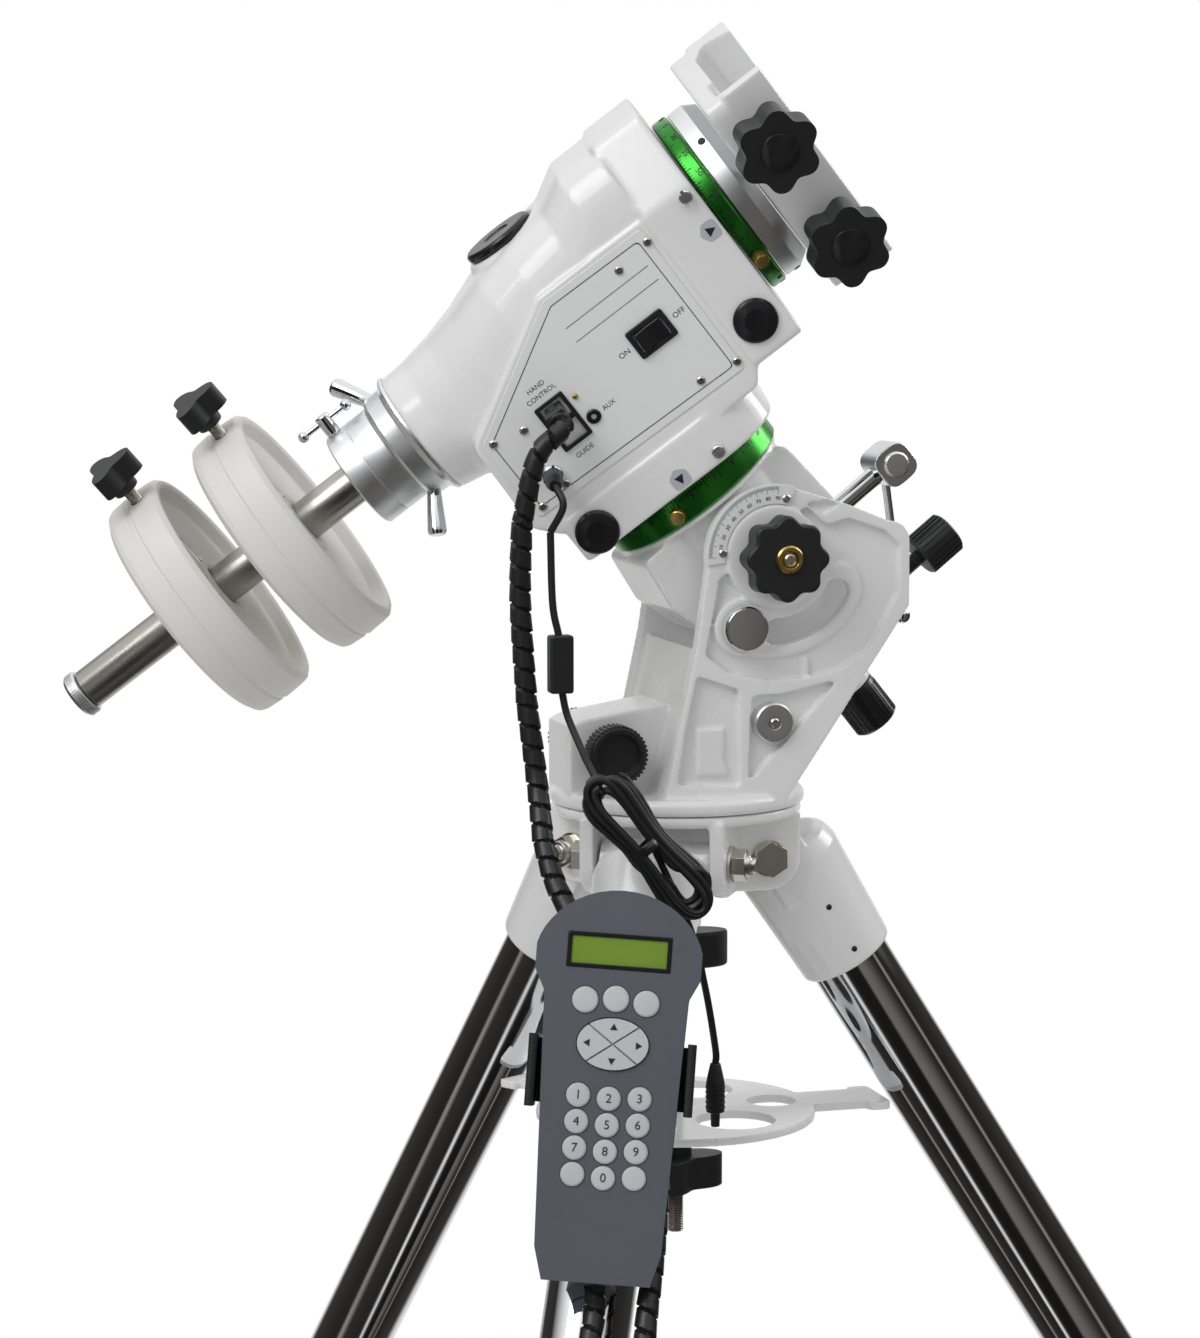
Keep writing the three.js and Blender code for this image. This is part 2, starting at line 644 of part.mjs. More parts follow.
function headCavities() {
  const raWheelRoom = bore(WHEEL_R + 1.5, -107, -92.5, 'z', 24);
  const raShaftRoom = bore(23.5, -113, -86, 'z', 16);
  const polarSight = bore(14, -90, 80, 'z');
  const decWheelRoom = bore(WHEEL_R + 1.5, 84.5, 99.5, 'x', 24);
  const decShaftRoom = bore(19.5, 60, 111, 'x', 16);
  const shaftBore = bore(SHAFT_R + 0.5, -120, -16, 'x', 14);
  const decWormRoom = solid(move(boreGeometry(WORM_R + 1.5, -70, 36, 'y', 12),
    DEC_WORM.x, 0, DEC_WORM.z));
  const raWormRoom = solid(move(boreGeometry(WORM_R + 1.5, -70, 36, 'y', 12),
    RA_WORM.x, 0, RA_WORM.z));
  const circuitRoom = box(-66, 60, -CASE_Y + 1.5, -CASE_Y + 20, -64, 8);
  return [raWheelRoom, raShaftRoom, polarSight, decWheelRoom, decShaftRoom, shaftBore,
    decWormRoom, raWormRoom, circuitRoom];
}

function headHousing() {
  const capBoss = turned([[0, 30], [27, 30], [25, 61], [0, 61]], 'z', 20);
  const shell = join(caseFlats(), caseDome(), decBlock(), raBlock(), capBoss);
  const panelSeat = prism(PANEL_OUTLINE, -CASE_Y - 5, -CASE_Y + 1.8, 'y');
  const capSeat = cylinder(24.5, 61, 90, 'z', 20);
  return part('head_housing', cut(shell, panelSeat, capSeat, ...headCavities()), WHITE);
}

function controlPanel() {
  const plate = prism(panelShape(GAP), -CASE_Y - 0.6, -CASE_Y + 1.4, 'y');
  const switchHole = box(29, 50, -70, -50, -33.5, -18.5);
  const sockets = box(-43, -22, -CASE_Y - 1.4, -CASE_Y + 14, -52, -19);
  const powerSocket = solid(move(cylinderGeometry(7, -CASE_Y - 6, -CASE_Y + 1, 'y', 12),
    -57, 0, -57));
  return part('control_panel', join(cut(plate, switchHole), sockets, powerSocket), LIGHT_GREY);
}

function powerSwitch() {
  const rocker = prism([[-9, 3], [-9, -5.2], [0, -2.2], [9, -3.4], [9, 3]], -6, 6, 'z');
  return part('power_switch', rocker, BLACK,
    { x: 39.5, y: -CASE_Y - 0.6, z: -26 });
}

function polarCap() {
  const cap = turned([[0, 61.4], [22, 61.4], [22.5, 62.5], [22.5, 65.5], [21, 67], [0, 67]], 'z', 24);
  return part('polar_cap', cap, BLACK);
}

function wormCap(name, spot) {
  const cap = turned([[0, -69], [7, -68.5], [12, -66.8], [13.5, -BLOCK_Y - GAP],
    [9, -BLOCK_Y - GAP], [9, -58], [0, -58]], 'y', 18);
  return part(name, cap, BLACK, { x: spot.x, z: spot.z });
}

function worm(name, spot) {
  const thread = turned([[0, -46], [5, -46], [5, -20], [WORM_R, -17], [WORM_R, 17], [5, 20],
    [5, 34], [0, 34]], 'y', 12);
  return part(name, thread, BRASS, { x: spot.x, z: spot.z });
}

function shaftLockRing() {
  const hole = SHAFT_R + 2;
  const ring = turned([[hole, -126], [35, -126], [36, -114], [40.5, -110.5],
    [40.5, -108.4], [hole, -108.4], [hole, -126]], 'x', 24);
  const levers = [120, -60].map((angle) => {
    const lever = turnedGeometry([[0, 30], [4.5, 30], [6, 64], [4.5, 67], [0, 67]], 'z', 10);
    turn(lever, 'y', -30);
    move(lever, -103, 0, 0);
    return solid(turn(lever, 'x', 90 - angle));
  });
  const outside = levers.map((lever) => cut(lever, cylinder(30, -160, -90, 'x')));
  return part('shaft_lock_ring', join(ring, ...outside), ALUMINIUM);
}

function shaftSleeve() {
  const sleeve = pipe(31.5, SHAFT_R + GAP, -157, -126.5, 'x', 24);
  const hole = solid(move(boreGeometry(3.5, 5, 40, 'z', 8), CLAMP_X, 0, 0));
  return part('shaft_sleeve', cut(sleeve, hole), ALUMINIUM);
}

function shaftClampScrew() {
  const stem = cylinder(3.2, SHAFT_R + 1.5, 33, 'z', 8);
  const head = cylinder(4.6, 32, 45, 'z', 10);
  const bar = solid(move(cylinderGeometry(1.6, -15, 15, 'x', 6), 0, 0, 41));
  const shape = join(stem, head, bar, ball(3.4, -16, 0, 41), ball(3.4, 16, 0, 41));
  return part('shaft_clamp_screw', shape, CHROME, { x: CLAMP_X });
}

// -------------------------------------------------------------- counterweights

function counterweightShaft() {
  const shaft = turned([[0, -367], [SHAFT_R, -367], [SHAFT_R, -47], [0, -47]], 'x', 20);
  return part('counterweight_shaft', shaft, STEEL);
}

function toeSaver() {
  const cap = turned([[0, -375.5], [13, -375.5], [14.3, -374.5], [14.3, -367.4], [0, -367.4]],
    'x', 20);
  return part('toe_saver', cap, ALUMINIUM);
}

function counterweight(name, x) {
  const half = WEIGHT_T / 2;
  const sides = 26;
  const inner = clear(SHAFT_R + GAP, sides);
  const disc = turned([[inner, -half], [69, -half], [75.8, -half + 6], [WEIGHT_R, 0],
    [75.8, half - 3], [73, half], [70, half], [66, half - 8], [inner, half - 9],
    [inner, -half]], 'x', sides);
  const hole = solid(move(boreGeometry(4.4, 5, 90, 'z', 8), half - 12.5, 0, 0));
  return part(name, cut(disc, hole), SATIN_WHITE, { x, rx: WEIGHT_KNOB_ANGLE });
}

function weightKnob(name, x) {
  const bolt = cylinder(4, SHAFT_R + 1, 93, 'z', 8);
  const grip = prism(lobedOutline(17, 3, 0.45, 6), 92, 106, 'z');
  return part(name, join(bolt, grip), BLACK,
    { x: x + WEIGHT_T / 2 - 12.5, rx: WEIGHT_KNOB_ANGLE });
}

// ---------------------------------------------------------- declination saddle
// Same axes as the head group, turned about x.

function decCircle() {
  return pipe(RING_R, 40 + GAP, 110.8, 121.4, 'x', 28);
}

function decFlange() {
  const flange = turned([[0, 122], [59, 122], [59, 133], [54, 140], [0, 140]], 'x', 28);
  const hub = cylinder(40, 110.6, 123, 'x', 20);
  const spindle = cylinder(18, 64, 111, 'x', 16);
  return part('dec_flange', join(flange, hub, spindle), ALUMINIUM);
}

function decWheel() {
  return part('dec_worm_wheel', pipe(WHEEL_R, 18 + GAP, 86, 98, 'x', 24), BRASS);
}

function saddleBody() {
  const base = prism(roundedRect(0, 0, 104, 2 * SADDLE_HALF, 10), 140.5, SEAT_X, 'x');
  const farRail = prism([[154, 24], [154, 52], [182, 52], [182, 30], [168, 38], [162, 38]],
    -SADDLE_HALF, SADDLE_HALF, 'z');
  const nearWall = box(154, 181, -52, -43, -SADDLE_HALF, SADDLE_HALF);
  const holes = SADDLE_KNOB_Z.map((z) => solid(move(
    boreGeometry(5 + GAP, -60, -38, 'y', 10), SADDLE_KNOB_X, 0, z)));
  const relief = box(150.5, SEAT_X + 1, -42.5, -20, -SADDLE_HALF - 1, SADDLE_HALF + 1);
  return part('saddle_body', cut(join(base, farRail, nearWall), relief, ...holes), WHITE);
}

function saddleJaw() {
  const jaw = prism([[151.5, -40], [151.5, -27], [162, -27], [168, -27], [180, -33],
    [180, -40]], -62, 62, 'z');
  return part('saddle_jaw', jaw, ALUMINIUM);
}

function saddleKnob(name, z) {
  const grip = prism(lobedOutline(24.5, 6, 0.24, 5), -88, -68, 'y');
  const dome = turned([[0, -91], [8, -90.5], [12, -87.5], [0, -87.5]], 'y', 14);
  const neck = cylinder(12, -69, -56, 'y', 14);
  const stud = cylinder(5, -57, -42, 'y', 10);
  return part(name, join(grip, dome, neck, stud), BLACK, { x: SADDLE_KNOB_X, z });
}

// -------------------------------------------------------------- hand controller
// Frame of this group: x right, -y towards the user, z up, origin at mid height.

function padOutline() {
  const shape = new THREE.Shape();
  const top = PAD_H / 2;
  shape.moveTo(-30, -top);
  shape.lineTo(30, -top);
  shape.lineTo(35, -top + 18);
  shape.lineTo(40, 50);
  shape.lineTo(46, 62);
  shape.lineTo(46, 76);
  shape.bezierCurveTo(42, 92, 24, top, 0, top);
  shape.bezierCurveTo(-24, top, -42, 92, -46, 76);
  shape.lineTo(-46, 62);
  shape.lineTo(-40, 50);
  shape.lineTo(-35, -top + 18);
  return shape;
}

const KEY_ROWS = [-6, -20.5, -35, -49.5];
const KEY_COLUMNS = [-17, 0, 17];

function keySpots() {
  const spots = [];
  for (const x of KEY_COLUMNS) {
    spots.push({ x, z: x === 0 ? 48 : 46.5, r: 7.6 });
    for (const z of KEY_ROWS) spots.push({ x, z: x === 0 ? z - 1 : z, r: 7 });
  }
  return spots;
}

function handsetShell() {
  const body = prism(padOutline(), -PAD_T / 2, PAD_T / 2, 'y');
  const room = box(-27, 27, -PAD_T / 2 + 3, -PAD_T / 2 + 9, -60, 58);
  const window = box(-27, 27, -PAD_T / 2 - 1, -PAD_T / 2 + 1.5, 66, 82);
  const holes = keySpots().map(({ x, z, r }) => solid(move(
    boreGeometry(r + 0.3, -PAD_T / 2 - 1, -PAD_T / 2 + 5, 'y', 8), x, 0, z)));
  const arrows = solid(arrowGeometry(0.4, -PAD_T / 2 - 1, -PAD_T / 2 + 5));
  return part('handset_shell', cut(body, room, window, arrows, ...holes), GREY);
}

function arrowGeometry(grow, a, b) {
  const geometry = cylinderGeometry(1, a, b, 'y', 16);
  geometry.scale(20 + grow, 1, 14.5 + grow);
  return move(geometry, 0, 0, 23);
}

function handsetKeypad() {
  const face = -PAD_T / 2;
  const sheet = box(-26, 26, face + 5.2, face + 6.8, -59, 57);
  const keys = keySpots().map(({ x, z, r }) => solid(move(
    cylinderGeometry(r, face - 1.6, face + 6, 'y', 8), x, 0, z)));
  const arrows = solid(arrowGeometry(0, face - 1.6, face + 6));
  return part('handset_keypad', join(sheet, arrows, ...keys), RUBBER);
}

function handsetHolder() {
  const back = box(-30, 30, PAD_T / 2 + GAP, PAD_T / 2 + 4, -40, 44);
  const clips = [-1, 1].map((side) => {
    const plate = prism(roundedRect(side * 44, 0, 5, PAD_T + 6, 2), -14, 26, 'z');
    const web = box(Math.min(side * 28, side * 45), Math.max(side * 28, side * 45),
      PAD_T / 2 + GAP, PAD_T / 2 + 3, -12, 24);
    return join(plate, web);
  });
  const legInPad = chain(PAD_SPOT, PAD_LEAN).clone().invert()
    .multiply(chain({ rz: PAD_LEG * 120 }, LEG_PLACE, { x: LEG_OFFSET }));
  const onLeg = (r, a, b) => solid(boreGeometry(r, a, b, 'z', 16).applyMatrix4(legInPad));
  const collar = onLeg(TUBE_R + 4.5, -159, -137);
  const arm = box(-8, 16, PAD_T / 2 + 3, 66, -12, 12);
  const holder = join(back, arm, collar, ...clips);
  return part('handset_holder', cut(holder, onLeg(TUBE_R + GAP, -190, -90)), BLACK);
}

// --------------------------------------------------------------------- cables

function cableGeometry(points, radius, steps) {
  const outline = new THREE.Shape(lobedOutline(radius, 1, 0, 7).map(([x, y]) =>
    new THREE.Vector2(x, y)));
  return new THREE.ExtrudeGeometry(outline, {
    steps,
    extrudePath: new THREE.CatmullRomCurve3(points.map((p) => new THREE.Vector3(...p))),
    bevelEnabled: false,
  });
}

// Cable from beside the head down to the foot of the hand controller.
function handsetCable() {
  const path = [[-112, -72, 96], [-110, -84, 10], [-100, -104, -42], [-66, -129, -84],
    [-38, -150, -140], [-54, -180, -220], [-70, -216, -258], [-100, -245, -284],
    [-124, -243, -280], [-113, -219, -246], [-111, -215.7, -229.5]];
  return part('handset_cable', solid(cableGeometry(path, 5, 22)), CABLE);
}

// Spare power lead, coiled in front of the tripod head, ending in a plug.
function powerCable() {
  const coil = new THREE.TorusGeometry(36, 6, 6, 18);
  coil.scale(0.92, 1.14, 1);
  const tail = cableGeometry([[26, -22, 0], [38, -60, 8], [40, -118, 32]], 3, 6);
  const plug = move(cylinderGeometry(7, -168, -116, 'y', 8), 40, 0, 32);
  const lead = join(solid(coil), solid(tail), solid(plug));
  return part('power_cable', lead, CABLE, { x: -53, y: -118, z: -8, rx: 90, rz: 0, ry: -17.5 });
}

// ------------------------------------------------------------------- assembly

function build() {
  const object = new THREE.Group();
  const tripod = group(object, { z: HUB_HEIGHT });
  tripod.add(tripodHub(), spreaderTray(), trayKnob(), mountingBolt());
  addLegs(tripod);

  const base = group(tripod);
  base.add(azimuthBase(), altitudeLockKnob(), altitudeCap());
  base.add(part('azimuth_knob_near', azimuthKnob(-1), BLACK, { x: PEG_X, z: 42 }));
  base.add(part('azimuth_knob_far', azimuthKnob(1), BLACK, { x: PEG_X, z: 42 }));

  const altitude = group(base, { x: PIVOT.x, y: PIVOT.y, z: PIVOT.z, ry: LATITUDE - 90 });
  altitude.add(polarHousing(), altitudeLink(), tommyBar(), altitudeKnob());
  altitude.add(raWheel(), eyepieceCap());
  altitude.add(part('ra_setting_circle', raCircle(), GREEN));

  const head = group(altitude, { z: HEAD_ABOVE_PIVOT, rz: -HEAD_TURN });
  head.add(headHousing(), controlPanel(), powerSwitch(), polarCap());
  head.add(wormCap('ra_worm_cap', RA_WORM), wormCap('dec_worm_cap', DEC_WORM));
  head.add(worm('ra_worm', RA_WORM), worm('dec_worm', DEC_WORM));
  head.add(shaftLockRing(), shaftSleeve(), shaftClampScrew());
  head.add(counterweightShaft(), toeSaver());
  head.add(counterweight('counterweight_inner', WEIGHT_SPOTS[0]));
  head.add(counterweight('counterweight_outer', WEIGHT_SPOTS[1]));
  head.add(weightKnob('weight_knob_inner', WEIGHT_SPOTS[0]));
  head.add(weightKnob('weight_knob_outer', WEIGHT_SPOTS[1]));

  const saddle = group(head, { rx: SADDLE_TURN });
  saddle.add(part('dec_setting_circle', decCircle(), GREEN));
  saddle.add(decFlange(), decWheel(), saddleBody(), saddleJaw());
  saddle.add(saddleKnob('saddle_knob_upper', SADDLE_KNOB_Z[0]));
  saddle.add(saddleKnob('saddle_knob_lower', SADDLE_KNOB_Z[1]));

  const handset = group(group(tripod, PAD_SPOT), PAD_LEAN);
  handset.add(handsetShell(), handsetKeypad(), handsetHolder());
  tripod.add(handsetCable(), powerCable());
  return object;
}

// Puts the origin on the floor under the middle of the bounding box.
function centred(object) {
  object.updateMatrixWorld(true);
  const limits = new THREE.Box3().setFromObject(object, true);
  const middle = limits.getCenter(new THREE.Vector3());
  object.position.set(-middle.x, -middle.y, -limits.min.z);
  object.updateMatrixWorld(true);
  return object;
}

export default centred(build());
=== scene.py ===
import json
import math

import bmesh
import bpy
from mathutils import Matrix, Vector

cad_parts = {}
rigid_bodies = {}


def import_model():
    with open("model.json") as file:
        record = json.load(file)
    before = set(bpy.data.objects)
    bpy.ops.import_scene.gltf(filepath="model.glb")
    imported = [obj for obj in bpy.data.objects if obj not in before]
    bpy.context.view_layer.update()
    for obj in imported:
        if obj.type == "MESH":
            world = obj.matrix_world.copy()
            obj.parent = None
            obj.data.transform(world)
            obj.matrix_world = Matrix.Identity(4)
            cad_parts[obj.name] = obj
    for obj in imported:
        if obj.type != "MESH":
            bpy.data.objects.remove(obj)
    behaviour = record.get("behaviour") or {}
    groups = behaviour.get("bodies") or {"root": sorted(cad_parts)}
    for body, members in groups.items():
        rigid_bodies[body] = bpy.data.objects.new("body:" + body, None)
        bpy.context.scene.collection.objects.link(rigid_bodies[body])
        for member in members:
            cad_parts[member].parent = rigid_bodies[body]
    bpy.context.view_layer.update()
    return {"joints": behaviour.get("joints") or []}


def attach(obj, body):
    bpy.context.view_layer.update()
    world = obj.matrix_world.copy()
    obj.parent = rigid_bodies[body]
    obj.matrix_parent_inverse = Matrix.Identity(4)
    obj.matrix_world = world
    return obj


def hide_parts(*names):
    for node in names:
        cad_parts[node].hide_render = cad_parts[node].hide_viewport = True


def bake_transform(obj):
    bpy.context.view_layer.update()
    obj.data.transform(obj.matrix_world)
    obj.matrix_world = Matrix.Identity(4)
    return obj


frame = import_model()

MM = 0.001
# The front view's level directions, in the world.
LOOK = Vector((0.3007, 0.9537, 0))
RIGHT = Vector((0.9537, -0.3007, 0))
UP = Vector((0, 0, 1))
LEGS = "abc"
# Corners turning less than this are left as they are; edges turning more look sharp.
STRAIGHT = math.radians(88)
SHARP_DEGREES = 35
BEVEL_STEPS = 3
# A letter's height is about this part of its font size.
FONT_SIZE_PER_HEIGHT = 1.4
# A wrapped cable: the groove's share of each turn, its depth, and how each turn flares.
GROOVE_SHARE, GROOVE_RADIUS = 0.14, 0.72
TURN_RADIUS, TURN_FLARE = 0.96, 0.10

# ------------------------------------------------------------------- frames
# Every piece is drawn in a local frame, in millimetres, and placed by a matrix.


def joint(name):
    """The joint of this name in the frame."""
    return next(j for j in frame["joints"] if j["name"] == name)


def axes_matrix(x, y, z, origin):
    m = Matrix.Identity(4)
    for column, axis in enumerate((x, y, z)):
        for row in range(3):
            m[row][column] = axis[row]
    m.translation = Vector(origin)
    return m


def from_z_and_y(z, y, origin):
    z, y = Vector(z).normalized(), Vector(y).normalized()
    x = y.cross(z).normalized()
    return axes_matrix(x, z.cross(x), z, origin)


HUB = Matrix.Translation(Vector(joint("azimuth")["pos_m"]))
ALT = from_z_and_y(joint("right_ascension")["axis"], joint("altitude")["axis"],
                   joint("altitude")["pos_m"])
_n = Vector(joint("declination")["axis"])
_p = Vector(joint("right_ascension")["axis"])
HEAD = axes_matrix(_n, _p.cross(_n), _p, joint("right_ascension")["pos_m"])
_j = Vector(joint("saddle_jaw_slide")["axis"])
SADDLE = axes_matrix(_n, _j, _n.cross(_j), joint("right_ascension")["pos_m"])
LEG = {}
for _l in LEGS:
    LEG[_l] = from_z_and_y(-Vector(joint("leg_extend_" + _l)["axis"]),
                           joint("leg_fold_" + _l)["axis"], joint("leg_fold_" + _l)["pos_m"])
PAD = (HUB @ Matrix.Translation(Vector((-97, -196, -122)) * MM)
       @ Matrix.Rotation(math.radians(-17), 4, "Z") @ Matrix.Rotation(math.radians(-12), 4, "X")
       @ Matrix.Rotation(math.radians(4), 4, "Y"))

# Turned pieces are drawn about local z, then laid on one of these axes.
LAY = {"x": Matrix(((0, 0, 1, 0), (1, 0, 0, 0), (0, 1, 0, 0), (0, 0, 0, 1))),
       "y": Matrix(((1, 0, 0, 0), (0, 0, 1, 0), (0, -1, 0, 0), (0, 0, 0, 1))),
       "-y": Matrix(((1, 0, 0, 0), (0, 0, -1, 0), (0, 1, 0, 0), (0, 0, 0, 1))),
       "z": Matrix.Identity(4),}


def spot(base, x=0, y=0, z=0, lay="z", turn=0, tilt=0):
    """A frame at a point of another, with the piece's own axis laid along x, y or z."""
    m = base @ Matrix.Translation(Vector((x, y, z)) * MM)
    if tilt:
        m = m @ Matrix.Rotation(math.radians(tilt), 4, "Y")
    m = m @ LAY[lay]
    return m @ Matrix.Rotation(math.radians(turn), 4, "Z")


# ---------------------------------------------------------------- materials


def link(tree, a, b):
    tree.links.new(a, b)


def node(tree, kind, **values):
    made = tree.nodes.new(kind)
    for key, value in values.items():
        if key in made.inputs:
            made.inputs[key].default_value = value
        else:
            setattr(made, key, value)
    return made


def noise(tree, vector, scale, detail=3.0, stretch=None):
    if stretch:
        mapping = node(tree, "ShaderNodeMapping")
        mapping.inputs["Scale"].default_value = stretch
        link(tree, vector, mapping.inputs["Vector"])
        vector = mapping.outputs["Vector"]
    made = node(tree, "ShaderNodeTexNoise")
    made.inputs["Scale"].default_value = scale
    made.inputs["Detail"].default_value = detail
    link(tree, vector, made.inputs["Vector"])
    return made.outputs["Fac"]


def spread(tree, value, low, high, from_low=0.3, from_high=0.7):
    made = node(tree, "ShaderNodeMapRange")
    made.inputs["From Min"].default_value = from_low
    made.inputs["From Max"].default_value = from_high
    made.inputs["To Min"].default_value = low
    made.inputs["To Max"].default_value = high
    link(tree, value, made.inputs["Value"])
    return made.outputs["Result"]


def mix(tree, factor, a, b):
    made = node(tree, "ShaderNodeMix", data_type="RGBA")
    for index, value in ((6, a), (7, b)):
        if isinstance(value, tuple):
            made.inputs[index].default_value = (*value, 1)
        else:
            link(tree, value, made.inputs[index])
    link(tree, factor, made.inputs[0])
    return made.outputs[2]


def finish(name, colour, rough, metal=0.0, coat=0.0, grain=0.05, scale=900.0, stretch=None,
           hollow_shade=0.35, tint=0.88, rough_spread=0.08, coat_rough=0.08):
    """A procedural finish: fine grain, uneven gloss, tone drift, and painted shade in the hollows.
    """
    made = bpy.data.materials.new(name)
    made.use_nodes = True
    tree = made.node_tree
    shader = tree.nodes["Principled BSDF"]
    where = node(tree, "ShaderNodeTexCoord").outputs["Object"]
    broad = noise(tree, where, 14.0, 4.0)
    fine = noise(tree, where, scale, 2.0, stretch)
    darker = tuple(c * tint for c in colour)
    toned = mix(tree, spread(tree, broad, 0.0, 1.0), colour, darker)
    # Painted shade: the colour is darkened towards 0.55 of itself in concave hollows, where
    # pointiness is low.
    hollow = node(tree, "ShaderNodeNewGeometry").outputs["Pointiness"]
    hollow_shade_mask = spread(tree, hollow, hollow_shade, 0.0, 0.40, 0.49)
    shade_painted = mix(tree, hollow_shade_mask, toned, tuple(c * 0.55 for c in colour))
    link(tree, shade_painted, shader.inputs["Base Color"])
    link(tree, spread(tree, broad, rough - rough_spread / 2, rough + rough_spread),
         shader.inputs["Roughness"])
    shader.inputs["Metallic"].default_value = metal
    shader.inputs["Coat Weight"].default_value = coat
    shader.inputs["Coat Roughness"].default_value = coat_rough
    bump = node(tree, "ShaderNodeBump")
    bump.inputs["Strength"].default_value = grain
    bump.inputs["Distance"].default_value = 0.0004
    link(tree, fine, bump.inputs["Height"])
    link(tree, bump.outputs["Normal"], shader.inputs["Normal"])
    return made


WHITE = finish("white_gloss_paint", (0.86, 0.865, 0.86), 0.26, coat=0.35, grain=0.10, scale=420,
               hollow_shade=0.30, tint=0.97)
SATIN = finish("satin_white_paint", (0.80, 0.79, 0.755), 0.5, grain=0.16, scale=700, hollow_shade=0.3,
               tint=0.95)
PANEL = finish("printed_panel", (0.84, 0.845, 0.85), 0.4, grain=0.05, scale=1200, hollow_shade=0.1,
               tint=0.98)
LABEL = finish("grey_label", (0.50, 0.52, 0.57), 0.45, grain=0.05, scale=1200, hollow_shade=0.1)
BLACK = finish("black_plastic", (0.016, 0.017, 0.019), 0.42, grain=0.25, scale=1500, hollow_shade=0.0,
               tint=0.8)
GLOSS_BLACK = finish("black_cap_plastic", (0.012, 0.012, 0.014), 0.25, grain=0.05, scale=600,
                     hollow_shade=0.0)
GREY = finish("grey_shell_plastic", (0.105, 0.115, 0.14), 0.5, grain=0.35, scale=1800, hollow_shade=0.0,
              tint=0.9)
KEY = finish("key_rubber", (0.62, 0.64, 0.66), 0.45, grain=0.1, scale=1500, hollow_shade=0.0)
CABLE = finish("cable_sheath", (0.014, 0.014, 0.015), 0.38, grain=0.2, scale=900, hollow_shade=0.0)
CHROME = finish("chrome_plate", (0.80, 0.81, 0.83), 0.06, 1.0, grain=0.02, scale=300,
                stretch=(1, 1, 0.05), hollow_shade=0.0, tint=0.93, rough_spread=0.05)
STEEL = finish("turned_steel", (0.50, 0.475, 0.44), 0.27, 1.0, grain=0.12, scale=60,
               stretch=(1, 1, 60), hollow_shade=0.2, tint=0.85)
ALUMINIUM = finish("turned_aluminium", (0.86, 0.87, 0.88), 0.36, 1.0, grain=0.12, scale=60,
                   stretch=(1, 1, 60), hollow_shade=0.2, tint=0.92)
BRASS = finish("brass", (0.62, 0.44, 0.16), 0.28, 1.0, grain=0.1, scale=200, hollow_shade=0.3)
ZINC = finish("zinc_plate", (0.76, 0.73, 0.66), 0.3, 1.0, grain=0.1, scale=500, hollow_shade=0.4)
INK = finish("black_ink", (0.02, 0.02, 0.022), 0.5, grain=0.05, scale=900, hollow_shade=0.0)
GREEN_CELL = finish("green_lcd", (0.22, 0.36, 0.05), 0.15, grain=0.02, scale=600, hollow_shade=0.0)


def dial_finish(name, colour, count, low, high):
    """An anodised ring about local z with scale marks cut across its rim."""
    made = finish(name, colour, 0.22, 0.85, grain=0.06, scale=60, stretch=(1, 1, 60), hollow_shade=0.15)
    tree = made.node_tree
    shader = tree.nodes["Principled BSDF"]
    painted = shader.inputs["Base Color"].links[0].from_socket
    where = node(tree, "ShaderNodeTexCoord").outputs["Object"]
    split = node(tree, "ShaderNodeSeparateXYZ")
    link(tree, where, split.inputs[0])

    def maths(operation, a, b=None):
        made_node = node(tree, "ShaderNodeMath", operation=operation)
        for index, value in enumerate((a, b)):
            if value is None:
                continue
            if isinstance(value, (int, float)):
                made_node.inputs[index].default_value = value
            else:
                link(tree, value, made_node.inputs[index])
        return made_node.outputs[0]

    angle = maths("ARCTAN2", split.outputs["Y"], split.outputs["X"])

    def marks(number, reach, width, edge=low):
        cycle = maths("FRACT", maths("MULTIPLY", maths("ADD", angle, math.pi), number
                                     / (2 * math.pi)))
        on = maths("LESS_THAN", maths("ABSOLUTE", maths("SUBTRACT", cycle, 0.5)), width)
        away = maths("ABSOLUTE", maths("SUBTRACT", split.outputs["Z"], edge * MM))
        return maths("MULTIPLY", on, maths("LESS_THAN", away, reach * MM))

    short = marks(count, abs(high - low) * 0.26, 0.16)
    long = marks(count / 5, abs(high - low) * 0.44, 0.034)
    both = maths("MAXIMUM", short, long)
    link(tree, mix(tree, both, painted, (0.01, 0.02, 0.01)), shader.inputs["Base Color"])
    return made


# ------------------------------------------------------------------- meshes


def mesh_of(verts, faces):
    made = bpy.data.meshes.new("shape")
    made.from_pydata([Vector(v) * MM for v in verts], [], faces)
    tidy = bmesh.new()
    tidy.from_mesh(made)
    bmesh.ops.remove_doubles(tidy, verts=tidy.verts, dist=1e-7)
    bmesh.ops.recalc_face_normals(tidy, faces=tidy.faces)
    tidy.to_mesh(made)
    tidy.free()
    return made


def rounded(points, radius, steps=4, closed=True):
    """The outline with its corners rounded. A radius may be one number, or one per corner."""
    radii = radius if isinstance(radius, (list, tuple)) else [radius] * len(points)
    made = []
    count = len(points)
    for i, here in enumerate(points):
        here = Vector(here)
        if not closed and i in (0, count - 1) or radii[i] <= 0:
            made.append(tuple(here))
            continue
        before = Vector(points[i - 1]) - here
        after = Vector(points[(i + 1) % count]) - here
        if before.length < 1e-6 or after.length < 1e-6:
            made.append(tuple(here))
            continue
        half = before.angle(after) / 2
        if half > STRAIGHT:
            made.append(tuple(here))
            continue
        reach = min(radii[i] / math.tan(half), before.length * 0.45, after.length * 0.45)
        start = here + before.normalized() * reach
        end = here + after.normalized() * reach
        for k in range(steps + 1):
            t = k / steps
            made.append(tuple(start * (1 - t) ** 2 + here * 2 * t * (1 - t) + end * t ** 2))
    return made


